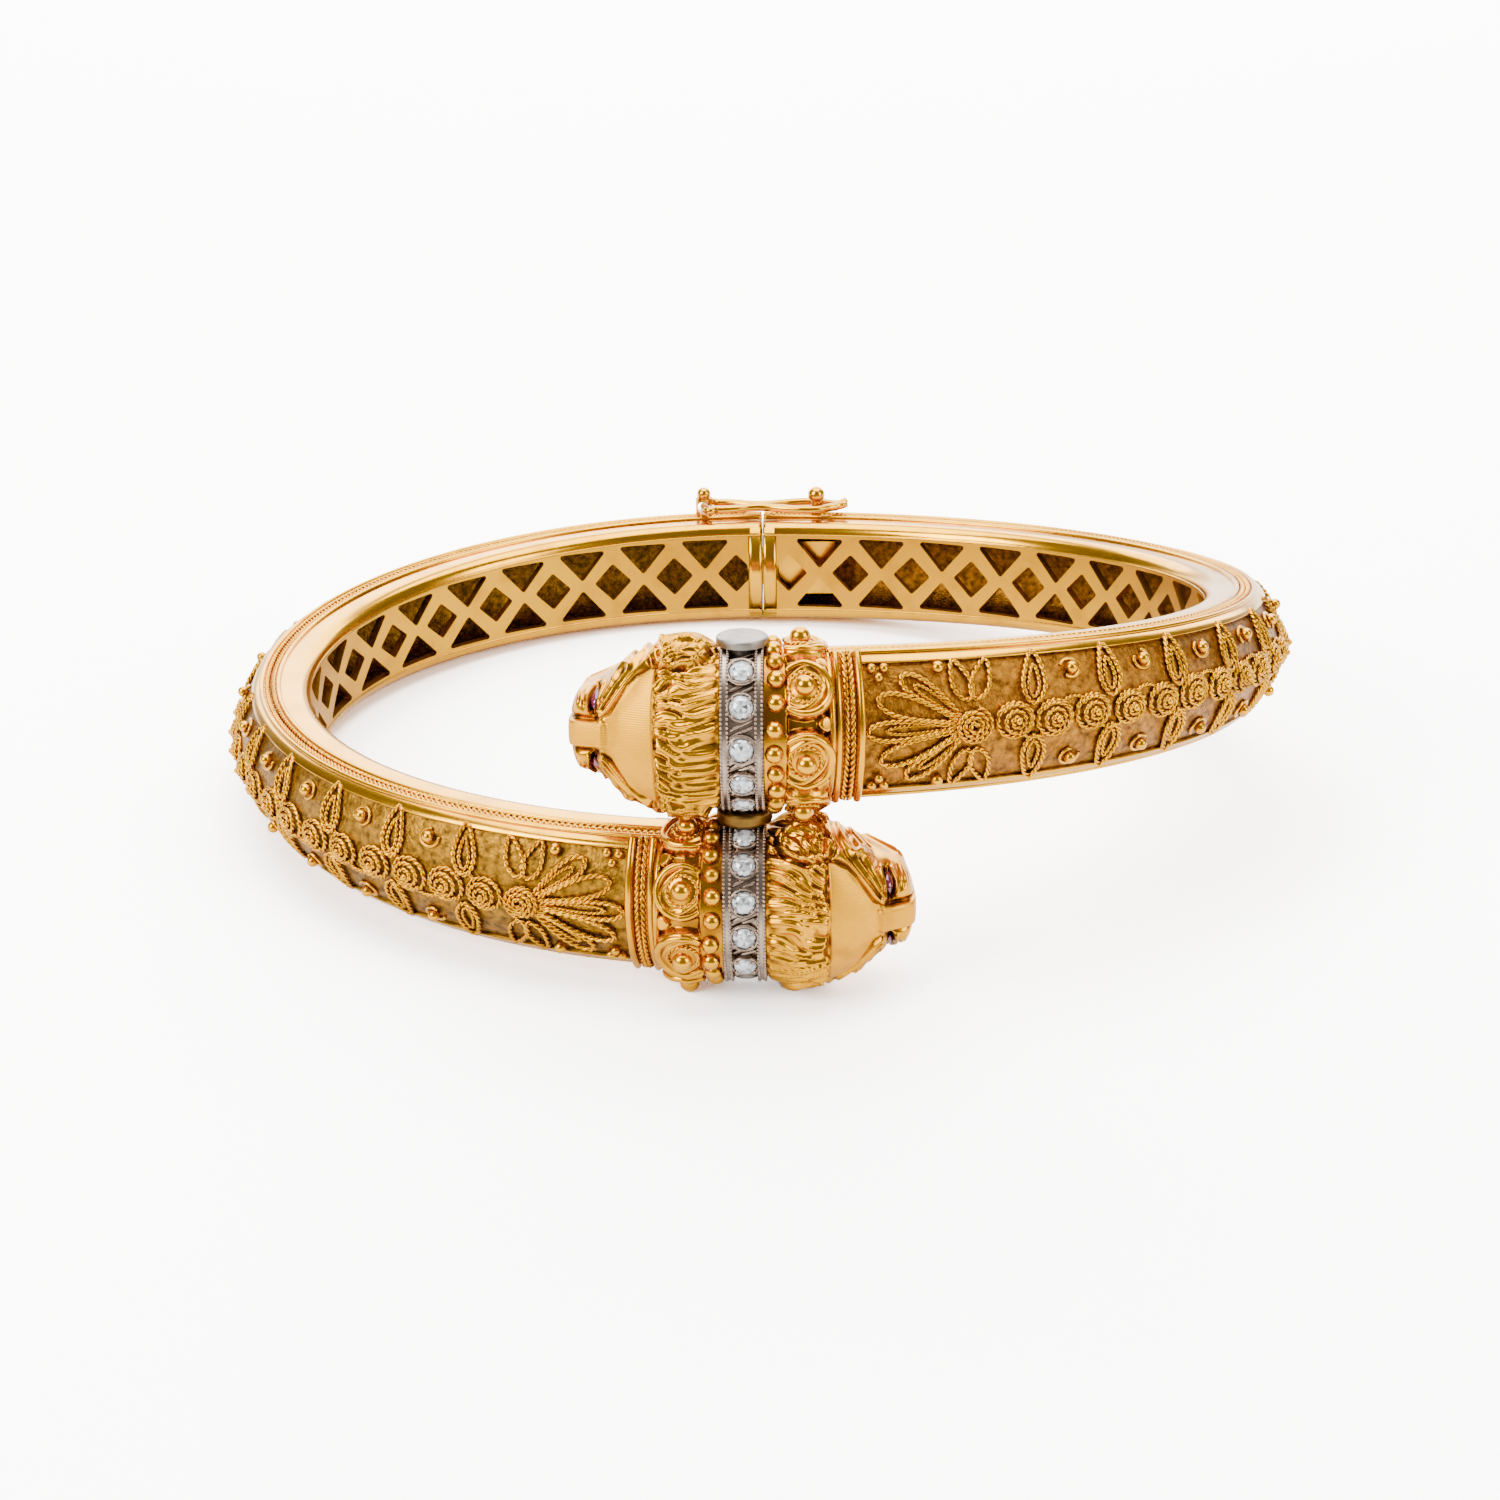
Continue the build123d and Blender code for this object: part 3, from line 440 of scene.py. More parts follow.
def stoneMaterial(name, colour, ior, transmission, glintFacets=False):
    m = bpy.data.materials.new(name)
    m.use_nodes = True
    t = m.node_tree
    shader = t.nodes["Principled BSDF"]
    shader.inputs["IOR"].default_value = ior
    shader.inputs["Transmission Weight"].default_value = transmission
    ramp = t.nodes.new("ShaderNodeValToRGB")
    ramp.color_ramp.elements[0].color = (*[c * (0.05 if glintFacets else 0.7) for c in colour], 1)
    ramp.color_ramp.elements[1].color = (*colour, 1)
    # with facets, each facet's colour runs at random from near black to full: painted reflections of a cut
    # stone
    if glintFacets:
        glintTone = t.nodes.new("ShaderNodeAttribute")
        glintTone.attribute_name = "facetGlint"
        link(t, glintTone.outputs["Fac"], ramp.inputs["Fac"])
    else:
        noise = t.nodes.new("ShaderNodeTexNoise")
        noise.inputs["Scale"].default_value = 1500
        coord = t.nodes.new("ShaderNodeTexCoord")
        link(t, coord.outputs["Object"], noise.inputs["Vector"])
        link(t, noise.outputs["Fac"], ramp.inputs["Fac"])
    link(t, ramp.outputs["Color"], shader.inputs["Base Color"])
    shader.inputs["Roughness"].default_value = 0.02
    return m


paint["diamond"] = stoneMaterial("diamondStone", (0.95, 0.98, 1.0), 2.3, 0.35, glintFacets=True)
paint["ruby"] = stoneMaterial("rubyStone", (0.16, 0.012, 0.035), 1.76, 0.3)
print("materials ready")


# Band: profile carried along the oval

def bandProfile(s):
    # Closed section at each arc length: lip, rounded rim, flat top, border, domed ground, and back
    # through the hollow. Returns depth, height and a mask that is one on the ground, for its own dark colour,
    # and one all through the hollow, where it paints shade on the inside.
    h = halfHeight(s)[:, None]
    one = np.ones_like(h)
    g = h - band["galleryRim"]
    edge = h - band["borderHeight"]
    r = band["rimRound"]
    a = np.radians(np.linspace(0, 90, 9))[None]
    n, z, m = [], [], []

    def run(depth, height, mask=0.0):
        depth, height = np.broadcast_arrays(depth * one, height * one)
        n.append(depth)
        z.append(height)
        m.append(np.full(depth.shape, mask, dtype=float))

    gap = 0.02
    run(0.0, g)
    run(r - r * np.cos(a), h - r + r * np.sin(a))
    run([1.6, 2.1, band["rimDepth"] - 0.12], h)
    run(band["rimDepth"], h - 0.05)
    run(band["rimDepth"] + 0.3, h - 0.12, 0.1)
    run(band["borderDepth"] - 0.04, edge + gap * 3, 0.2)
    run(band["borderDepth"], edge, 0.3)
    run(band["borderDepth"] - band["step"], edge - gap, 0.9)
    centre, radius = (k[:, None] for k in groundArc(s))
    top = np.arcsin(np.clip(edge / radius, -1, 1))
    angle = top * np.linspace(0.985, 0, 14)[None]
    run(centre + radius * np.cos(angle), radius * np.sin(angle), 1.0)
    outerN, outerZ, outerM = (np.concatenate(k, 1) for k in (n, z, m))
    roof = h - band["wall"]
    innerN = np.array([0.75, 1.05, 2.6, 3.5, band["crown"] - band["wall"]]) * one
    innerZ = np.concatenate([g, roof, roof, roof * 0.6, roof * 0.0], 1)
    # down the outside, back below it, and through the hollow from its lower to its upper edge
    outN = np.concatenate([outerN, outerN[:, -2::-1], innerN, innerN[:, -2:0:-1], innerN[:, :1]], 1)
    outZ = np.concatenate([outerZ, -outerZ[:, -2::-1], -innerZ, innerZ[:, -2:0:-1], innerZ[:, :1]], 1)
    # the mask is one all through the hollow, so its inside takes the ground's dark colour as painted shade
    outM = np.concatenate([outerM, outerM[:, -2::-1], np.ones((len(s), innerN.shape[1] * 2 - 1))], 1)
    return outN, outZ, outM


def endBlocks():
    # Two solid blocks at each end of the band, carried between four corners, that fill its hollow.
    parts = []
    for s0, s1 in ((armEnd - band["plate"], armEnd + band["lip"]),
                   (armStart + band["inset"], armStart + band["plate"])):
        t = np.linspace(s0, s1, 5)
        for n0, n1, share in ((0.03, 1.0, 1.0), (2.8, 4.3, 0.72)):
            z1 = (halfHeight(t) - 0.3) * share
            corners = ((n0, -z1), (n1, -z1), (n1, z1), (n0, z1))
            verts, faces = capped(np.stack([place(t, np.full(5, n), z) for n, z in corners], 1))
            parts.append((verts, orient(verts, faces)))
    return parts


def bandSurface(side, name, body, nodes):
    # The section carried along the oval; the faces whose corners are all ground or inside the hollow have the
    # ground's material, which paints shade inside the hollow.
    s = np.linspace(armStart + band["inset"], armEnd + band["lip"], band["rows"])
    n, z, mask = bandProfile(s)
    verts, faces = capped(toRow(half(place(np.repeat(s[:, None], n.shape[1], 1), n, z), side)))
    faces = faces[:, ::-1]
    marks = np.concatenate((mask.ravel(), (0.0, 0.0)))
    for blockVerts, blockFaces in endBlocks():
        faces = np.concatenate((faces, blockFaces + len(verts)))
        marks = np.concatenate((marks, np.zeros(len(blockVerts))))
        verts = np.concatenate((verts, toRow(half(blockVerts, side))))
    groundPaint = paint["ground" if side > 0 else "oliveGroundAndHollowShade"]
    return makeObject(name, verts, faces, body, paint["rim"], replaced=nodes,
                      marks={"ground": marks}, second=(groundPaint, marks[faces].min(1) > 0.25))


# A row of wires is its place and its twist: 0 for a plain wire, 1 and -1 for a rope's two ways
wires = {"ropeRadius": 0.18, "edgeWire": 0.17, "petalRope": 0.18, "coilRope": 0.165, "bead": 0.36,
         "rosette": 0.92, "pitch": 2.25, "bandLength": 1.5, "fanReach": 6.4, "petal": 1.4,
         "borderRows": ((1.98, 0), (2.33, 1), (2.68, -1), (3.05, 0)),
         "endRows": ((0.38, 0), (0.78, 1), (1.08, -1), (1.5, 0)), "endRope": 0.19, "endWire": 0.23,
         "strip": ((0.2, 0.0), (0.2, 0.22), (1.7, 0.22), (1.7, 0.0))}
patternStart = armStart + wires["bandLength"] + wires["fanReach"] + wires["petal"]
patternEnd = armEnd - band["plate"] - wires["rosette"]
rosetteCount = int((patternEnd - patternStart) / wires["pitch"]) + 1


def borderWires():
    # Plain and twisted wires laid side by side along both outer edges of the flat rims.
    s = np.linspace(armStart, armEnd, 420)
    h = halfHeight(s)
    parts = []
    for way in (1, -1):
        up = station(s)[2] * way
        for depth, twist in wires["borderRows"]:
            path = place(s, np.full_like(s, depth), way * (h + 0.02))
            parts.append(rope(path, up, wires["ropeRadius"], twist) if twist
                         else tube(path, up, wires["edgeWire"], 8))
    return joined(parts)


def endBand():
    # Plain and twisted wires that follow the dome across the arm, laid on a low strip.
    parts = []
    for at, twist in wires["endRows"]:
        s = armStart + at
        z = np.linspace(-1, 1, 60) * (groundTop(s) + 0.55)
        path, normal = onGround(np.full_like(z, s), z, 0.3), groundNormal(np.full_like(z, s), z)
        parts.append(rope(path, normal, wires["endRope"], twist) if twist
                     else tube(path, normal, wires["endWire"], 10))
    z = np.linspace(-1, 1, 40)
    edges = [onGround(np.full_like(z, armStart + at), z * (groundTop(armStart + at) + 0.5), lift)
             for at, lift in wires["strip"]]
    parts.append(capped(np.stack(edges, 1)))
    return joined([(v, orient(v, f)) for v, f in parts])


def localPath(s0, z0, x, y, lift):
    # Flat curve laid on the ground round a spot: x along the band and y across it.
    s, z = s0 + x, z0 + y
    return onGround(s, z, lift), groundNormal(s, z)


def coil(s0, z0, radius, turns, wireRadius, lift):
    # Flat spiral of rope: the radius grows evenly with the angle.
    a = np.linspace(0, 2 * math.pi * turns, int(26 * turns))
    r = 0.12 + (radius - 0.12) * a / a[-1]
    s, z = s0 + r * np.cos(a), z0 + r * np.sin(a)
    return rope(onGround(s, z, lift + 0.3 * (1 - r / radius)), groundNormal(s, z), wireRadius)


def teardrop(length, width, turn):
    # Round bulb at the origin and a point at the given length: the half width is a sine that
    # narrows evenly to the point. The turn carries the point from the +y direction.
    a = np.linspace(0, 2 * math.pi, 44, endpoint=False)
    whole = length + width / 2
    y = (1 - np.cos(a)) / 2 * whole - width / 2
    x = width / 2 * np.sin(a) * np.clip(1.25 - 0.75 * (y + width / 2) / whole, 0, 1)
    c, s = math.cos(turn), math.sin(turn)
    return x * c - y * s, x * s + y * c


def filigree(rng):
    # Coils of rope on a closed ring, then double drops, balls in open rings, and ties, each at
    # even steps of arc length along the ground.
    parts = []
    beads, beadRadius = [], []
    lift = wires["petalRope"]
    for k in range(rosetteCount):
        s = patternStart + k * wires["pitch"]
        wobble = rng.uniform(-0.08, 0.08, 2)
        size = wires["rosette"] * rng.uniform(0.92, 1.06)
        parts.append(coil(s + wobble[0], wobble[1], size - 0.08, 2.4, wires["coilRope"], 0.3))
        beads.append(onGround(s + wobble[0], wobble[1], 0.62))
        beadRadius.append(0.2)
        a = np.linspace(0, 2 * math.pi, 30, endpoint=False)
        base, baseNormal = localPath(s + wobble[0], wobble[1], size * np.cos(a), size * np.sin(a), 0.14)
        parts.append(rope(base, baseNormal, wires["coilRope"] * 1.15, closed=True))
    for k in range(0, rosetteCount, 2):
        s = patternStart + (k + 0.5) * wires["pitch"]
        top = groundTop(s)
        for way in (1, -1):
            lean = rng.uniform(-0.15, 0.15)
            turn = lean if way > 0 else math.pi + lean
            for length, width, rise, share in ((2.3, 1.3, lift, 1), (1.5, 0.62, lift * 0.8, 0.75)):
                path, normal = localPath(s, way * (top - 2.2), *teardrop(length, width, turn), rise)
                parts.append(rope(path, normal, wires["petalRope"] * share, closed=True))
    for k in range(1, rosetteCount, 2):
        s = patternStart + (k + 0.5) * wires["pitch"]
        top = groundTop(s)
        for way in (1, -1):
            z0 = way * (top - 1.15)
            beads.append(onGround(s, z0, 0.3))
            beadRadius.append(wires["bead"])
            a = np.linspace(-2.4, 2.6, 26)
            r = 0.52 + 0.05 * a / 2.6
            turn = rng.uniform(0, 6.3)
            path, normal = localPath(s, z0, r * np.cos(a + turn), r * np.sin(a + turn), 0.12)
            parts.append(tube(path, normal, 0.11, 6))
    # little scrolls that tie the coils to the next petal
    for k in range(rosetteCount - 1):
        s = patternStart + (k + 0.5) * wires["pitch"]
        a = np.linspace(-math.pi * 0.8, math.pi * 0.8, 18)
        way = 1 if k % 2 else -1
        path, normal = localPath(s, way * 0.75, 0.62 * np.sin(a / 2) * 1.1, way * 0.28 * np.cos(a / 1.6), 0.12)
        parts.append(rope(path, normal, wires["petalRope"] * 0.8))
    return parts, beads, beadRadius


# Loops of the fan: degrees above the middle line, reach and width
fanLoops = ((40, 4.5, 1.3), (20, 5.0, 1.5), (-1, 5.25, 1.35), (-22, 4.9, 1.45), (-43, 4.3, 1.3))


def fanParts():
    # Long loops spread from a coil towards the end band, each a sine's width that grows with the
    # distance from the coil, then four short drops and the balls in the corners.
    s0 = patternStart - wires["pitch"]
    parts, beads, beadRadius = [], [], []
    for lift in (0.2, 0.42):
        parts.append(coil(s0, 0, 0.95, 3.2, wires["coilRope"] * 1.1, lift))
    top = groundTop(s0)
    for angle, reach, width in fanLoops:
        a = math.radians(angle)
        t = np.linspace(0, 2 * math.pi, 60, endpoint=False)
        along = (1 - np.cos(t)) / 2 * (reach - 0.8) + 0.8
        across = width / 2 * np.sin(t) * np.clip(0.25 + 0.85 * (along - 0.8) / (reach - 0.8), 0, 1)
        x = -(along * math.cos(a) - across * math.sin(a))
        y = along * math.sin(a) + across * math.cos(a)
        y = np.clip(y, -top + 0.2, top - 0.2)
        path, normal = localPath(s0, 0, x, y, 0.2)
        parts.append(rope(path, normal, wires["petalRope"] * 1.08, closed=True))
        if width < 1.4:  # the narrow loops hold a smaller one
            inner = 0.42 * across
            x = -(along * 0.82 * math.cos(a) - inner * math.sin(a))
            y = np.clip(along * 0.82 * math.sin(a) + inner * math.cos(a), -top + 0.3, top - 0.3)
            path, normal = localPath(s0, 0, x, y, 0.12)
            parts.append(rope(path, normal, wires["petalRope"] * 0.7, closed=True))
    for way in (1, -1):
        for lean in (0.35, -0.25):
            turn = (-lean if way > 0 else math.pi + lean)
            x, y = teardrop(1.8, 1.05, turn)
            path, normal = localPath(s0 + lean * 1.2, way * (top - 1.9), x, y, 0.16)
            parts.append(rope(path, normal, wires["petalRope"], closed=True))
    for way in (1, -1):
        for ds, dz in ((0.0, 0.0), (0.62, 0.0), (0.31, -0.52)):
            beads.append(onGround(armStart + 2.15 + ds, way * (top - 0.42 + dz), 0.2))
            beadRadius.append(0.28)
        beads.append(onGround(s0 - 1.55, way * (top - 0.55), 0.22))
        beadRadius.append(0.36)
    return parts, beads, beadRadius


# Collars

def collarPoint(x, angle):
    # Point on the oval of the diamond collar: x along its axis, angle from outward to up.
    foot, out, up = station(0.0)
    return (foot + out * collar["axis"] + np.cross(up, out) * x[..., None]
            + out * (collar["halfDepth"] * np.cos(angle))[..., None]
            + up * (collar["halfHeight"] * np.sin(angle))[..., None])


scroll = {"places": (0, 0.95, 1.15, 1.75, 2.6, 3.1), "shares": (0.92, 0.92, 0.93, 0.965, 0.92, 0.85),
          "granules": 21, "granuleRadius": 0.5, "granuleAt": 0.47, "bosses": 7, "bossAt": 1.78,
          "bossRadius": 0.58, "lobe": 1.5, "rows": 72, "sides": 340, "upperPhase": -15, "lowerPhase": 21,
          "stretch": 1.15, "girth": 4.45}  # shares that turn q and radians into mm on the barrel
scrollEnd = armStart - collar["length"] / 2


def onScroll(q, angle, lift=0.0):
    # Barrel that bends with the band: q is mm along the path from the diamonds, the angle runs from
    # outward to up, and the oval shrinks by the share table.
    q, angle, lift = np.broadcast_arrays(*(np.asarray(v, float) for v in (q, angle, lift)))
    share = np.interp(q, scroll["places"], scroll["shares"])
    n = collar["axis"] + (collar["halfDepth"] * share + lift) * np.cos(angle)
    z = (collar["halfHeight"] * share + lift) * np.sin(angle)
    return place(collar["length"] / 2 + q - 0.032 * n * np.exp(-q / 0.5), n, z)


def scrollNormal(q, angle):
    d = onScroll(q, angle, 0.5) - onScroll(q, angle, 0.0)
    return d / np.linalg.norm(d, axis=-1, keepdims=True)


def bossAngles(phase):
    return np.radians(phase + 360 / scroll["bosses"] * np.arange(scroll["bosses"]))


def scrollRelief(q, angle, phase):
    # Rise of the chased barrel: a dished lobe with a raised C-shaped edge round each boss, sunk
    # ground between the lobes with a small leaf, and a groove on both sides of the granules. The dark mask is
    # tarnish and painted shade: darker on the sunk ground, in rings in the lobes and by the granules, lighter
    # on the leaf.
    rise = np.full(q.shape, -0.30)
    dark = np.full(q.shape, 0.75)
    step = 2 * math.pi / scroll["bosses"]
    local = (angle - math.radians(phase) + step / 2) % step - step / 2
    dq = (q - scroll["bossAt"]) * scroll["stretch"]
    da = local * scroll["girth"]
    d = np.hypot(dq, da)
    inside = 1 - smoothStep(d, scroll["lobe"] + 0.12, scroll["lobe"] + 0.3)
    edge = np.exp(-((d - scroll["lobe"] + 0.08) / 0.2) ** 2)
    dish = 0.40 - 0.22 * np.clip(d / 1.3, 0, 1) ** 2
    rise = rise * (1 - inside) + inside * dish
    rise += 0.20 * edge * smoothStep(dq, -1.25, -0.7)
    dark = dark * (1 - inside) + inside * (0.55 * np.exp(-((d - 0.72) / 0.2) ** 2)
                                           + 0.5 * np.exp(-((d - 1.18) / 0.1) ** 2))
    second = np.exp(-((d - 1.13 - 0.16 * np.sin(2 * np.arctan2(da, dq))) / 0.13) ** 2)
    rise += 0.16 * second * inside
    between = (angle - math.radians(phase)) % step - step / 2
    leafQ = (q - 2.72) / 0.42
    leaf = 1 - smoothStep(np.hypot(leafQ, between * 4.3 / (0.5 + 0.25 * leafQ)), 0.7, 1.0)
    rise += 0.42 * leaf
    dark *= 1 - 0.9 * leaf
    row = 1 - smoothStep(q, 0.92, 1.05)
    rise = rise * (1 - row) + 0.1 * row
    dark = dark * (1 - row) + 0.5 * row
    end = smoothStep(q, scrollEnd - 0.16, scrollEnd - 0.06)
    rise = rise * (1 - end)
    return rise, np.clip(dark, 0, 1)


def scrollBarrel(phase):
    q = np.linspace(0.02, scrollEnd + 0.12, scroll["rows"])
    a = np.linspace(0, 2 * math.pi, scroll["sides"], endpoint=False)
    qq, aa = np.meshgrid(q, a, indexing="ij")
    rise, dark = scrollRelief(qq, aa, phase)
    p = onScroll(qq, aa, rise)
    first, last = (ring.mean(0) + (ring - ring.mean(0)) * 0.05 for ring in (p[0], p[-1]))
    marks = np.concatenate((dark[:1], dark, dark[-1:]))
    verts, faces = capped(np.concatenate((first[None], p, last[None])))
    return verts, faces, np.concatenate((marks.ravel(), (0.5, 0.5)))


def aroundBoss(angle, radius, t):  # circle of the radius in mm round the boss at the angle
    return (scroll["bossAt"] + radius * np.cos(t) / scroll["stretch"],
            angle + radius * np.sin(t) / scroll["girth"])


def scrollOrnament(phase):
    # Granules, bosses and the twisted rings round the bosses.
    k = np.arange(scroll["granules"])
    around = 2 * math.pi * (k + 0.5) / scroll["granules"]
    wander = 0.06 * np.sin(5.1 * k + phase)
    parts = [balls(onScroll(scroll["granuleAt"] + wander, around + 0.4 * wander, 0.14),
                   scroll["granuleRadius"] + 0.5 * np.abs(wander), rows=10, sides=18)]
    for a0 in bossAngles(phase):
        parts.append(balls(onScroll(scroll["bossAt"], a0, 0.42), scroll["bossRadius"], rows=11, sides=20))
        q, a = aroundBoss(a0, 0.83, np.linspace(0, 2 * math.pi, 48, endpoint=False))
        parts.append(rope(onScroll(q, a, 0.32), scrollNormal(q, a), 0.15, closed=True))
        t = np.linspace(-2.3, 2.3, 60)
        q, a = aroundBoss(a0, 1.4, t)
        parts.append(tube(onScroll(q, a, 0.34), scrollNormal(q, a), 0.13 + 0.11 * np.cos(t / 1.6), 8))
    ring = np.linspace(0, 2 * math.pi, 220, endpoint=False)
    q = np.full(220, scrollEnd - 0.02)
    parts.append(tube(onScroll(q, ring, 0.02), scrollNormal(q, ring), 0.16, 8, closed=True))
    return joined(parts)


stones = {"radius": 0.65, "upper": (50, 23, -6, -33, -58), "lower": (-74, -50, -23, 3, 30), "table": 0.36,
          "crown": 0.24, "pavilion": 0.4, "seat": 0.26}
trim = {"beads": 120, "bead": 0.1, "prong": 0.12, "bar": 0.105, "endAngle": 27}


def spotFrame(angle):
    # Spot on the channel of the diamond collar with its normal, along and around directions.
    a = math.radians(angle)
    d, h = collar["halfDepth"] - collar["channel"], collar["halfHeight"] - collar["channel"]
    foot, out, up = station(0.0)
    origin = foot + out * collar["axis"]
    point = origin + out * d * math.cos(a) + up * h * math.sin(a)
    normal = out * math.cos(a) / d + up * math.sin(a) / h
    normal /= np.linalg.norm(normal)
    along = np.cross(up, out)
    return point, normal, along, np.cross(normal, along)


def brilliant():
    # Round brilliant: table, stars, kites, halves, girdle and pavilion, joined between rings of points.
    a8, a16 = np.arange(8) * math.pi / 4, np.arange(16) * math.pi / 8

    def ring(a, r, z):
        return np.stack([r * np.cos(a), r * np.sin(a), np.full(len(a), z)], 1)

    r, rim = stones["radius"], 0.04
    verts = np.concatenate((ring(a16, r, 0.0), ring(a16, r, rim),
                            ring(a8, 0.8 * r, rim + 0.55 * stones["crown"]),
                            ring(a8 + math.pi / 8, stones["table"], rim + stones["crown"]),
                            ring(a8 + math.pi / 8, 0.3 * r, -0.72 * stones["pavilion"]),
                            [(0, 0, -stones["pavilion"]), (0, 0, rim + stones["crown"])]))
    low, high, kite, table, under, culet, top = 0, 16, 32, 40, 48, 56, 57
    faces = []
    for i in range(8):
        j = (i + 1) % 8
        mid, after = 2 * i + 1, (2 * i + 2) % 16
        faces += [(top, table + i, table + j), (table + i, kite + j, table + j),
                  (high + mid, kite + j, table + i), (high + mid, table + i, kite + i),
                  (high + 2 * i, high + mid, kite + i), (high + mid, high + after, kite + j),
                  (low + mid, low + 2 * i, under + i), (low + after, low + mid, under + i),
                  (low + after, under + i, under + j), (under + j, under + i, culet)]
    faces = [(*f, f[2]) for f in faces]
    for i in range(16):
        j = (i + 1) % 16
        faces.append((low + i, low + j, high + j, high + i))
    return verts, np.array(faces)


def collarTrim(angles):
    # Millegrain beads on both flanges, prongs round each stone and engraved bars between them.
    parts = []
    a = np.linspace(0, 2 * math.pi, trim["beads"], endpoint=False)
    halfLength = collar["length"] / 2
    for x in (-halfLength + 0.06, -halfLength + collar["flange"] - 0.02, halfLength - collar["flange"] + 0.02,
              halfLength - 0.06):
        parts.append(balls(collarPoint(np.full_like(a, x), a), trim["bead"], rows=4, sides=7))
    for angle in angles:
        point, normal, along, around = spotFrame(angle)
        t = np.linspace(0, 2 * math.pi, 36, endpoint=False)[:, None]
        r = stones["radius"] + 0.1
        path = point + normal * stones["seat"] + along * r * np.cos(t) + around * r * np.sin(t)
        parts.append(tube(path, normal, 0.07, 7, closed=True))
        for c in np.radians((45, 135, 225, 315)):
            across = along * math.cos(c) + around * math.sin(c)
            where = point + normal * 0.36 + across * (stones["radius"] + 0.02)
            parts.append(balls(where, trim["prong"], rows=5, sides=8))
    ordered = sorted(angles)
    ends = [ordered[0] - trim["endAngle"]] + ordered + [ordered[-1] + trim["endAngle"]]
    for low, high in zip(ends[:-1], ends[1:]):
        mid = (low + high) / 2
        point, normal, along, around = spotFrame(mid)
        t = np.linspace(-1, 1, 9)[:, None]
        path = point + normal * 0.06 + along * 0.72 * t + around * 0.34 * t
        for shift in (-0.2, 0.2):
            parts.append(tube(path + around * shift, normal, trim["bar"], 8))
    return joined(parts)


# Lion heads

# Distance from the pin along the path, then half width, crown and jaw, all in mm
headSections = np.array([
    (1.19, 4.35, 3.75, 3.45), (1.70, 4.60, 3.95, 3.60), (2.50, 4.90, 4.05, 3.70), (3.40, 4.85, 4.05, 3.70),
    (4.30, 4.60, 3.95, 3.65), (5.20, 4.08, 3.70, 3.55), (6.10, 3.50, 3.35, 3.35), (7.00, 3.00, 3.05, 3.10),
    (7.90, 2.45, 2.80, 2.80), (8.35, 2.10, 2.62, 2.60), (8.86, 1.75, 2.40, 2.40)])
head = {"start": 1.19, "end": 8.86, "roundFrom": 8.0, "rows": 166, "sides": 430, "squareness": 0.88}


def eased(x, xs, ys):  # Hermite curve through a short table
    slope = np.gradient(ys, xs)
    k = np.clip(np.searchsorted(xs, x) - 1, 0, len(xs) - 2)
    span = xs[k + 1] - xs[k]
    t = (x - xs[k]) / span
    return ((2 * t ** 3 - 3 * t ** 2 + 1) * ys[k] + (t ** 3 - 2 * t ** 2 + t) * span * slope[k]
            + (3 * t ** 2 - 2 * t ** 3) * ys[k + 1] + (t ** 3 - t ** 2) * span * slope[k + 1])


def smoothStep(x, low, high):
    t = np.clip((x - low) / (high - low), 0, 1)
    return t * t * (3 - 2 * t)


def bump(u, v, u0, v0, du, dv):  # round hill that falls off by the spans du and dv
    return np.exp(-((u - u0) / du) ** 2 - ((v - v0) / dv) ** 2)


def ridge(u, v, points, width):
    # Ridge along a polyline: falls off with the distance to the nearest of its segments.
    best = np.full(u.shape, 1e9)
    points = np.asarray(points, float)
    for p, q in zip(points[:-1], points[1:]):
        d = q - p
        t = np.clip(((u - p[0]) * d[0] + (v - p[1]) * d[1]) / (d @ d), 0, 1)
        best = np.minimum(best, np.hypot(u - p[0] - t * d[0], v - p[1] - t * d[1]))
    return np.exp(-(best / width) ** 2)


def unevenness(x, y, seed, scale, count=7):
    # Soft random field: a sum of sines of seeded directions and phases.
    r = np.random.default_rng(seed)
    total = np.zeros_like(x)
    for _ in range(count):
        kx, ky = r.normal(0, scale, 2)
        total += np.sin(kx * x + ky * y + r.uniform(0, 6.28))
    return total / math.sqrt(count)


# Forehead plate: distances from the pin and its half widths there
foreheadPlate = ((3.9, 4.4, 5.0, 5.4, 5.8, 6.2, 6.6, 7.2, 8.9),
                 (3.7, 3.55, 3.1, 2.6, 1.9, 1.2, 0.82, 0.68, 0.66))


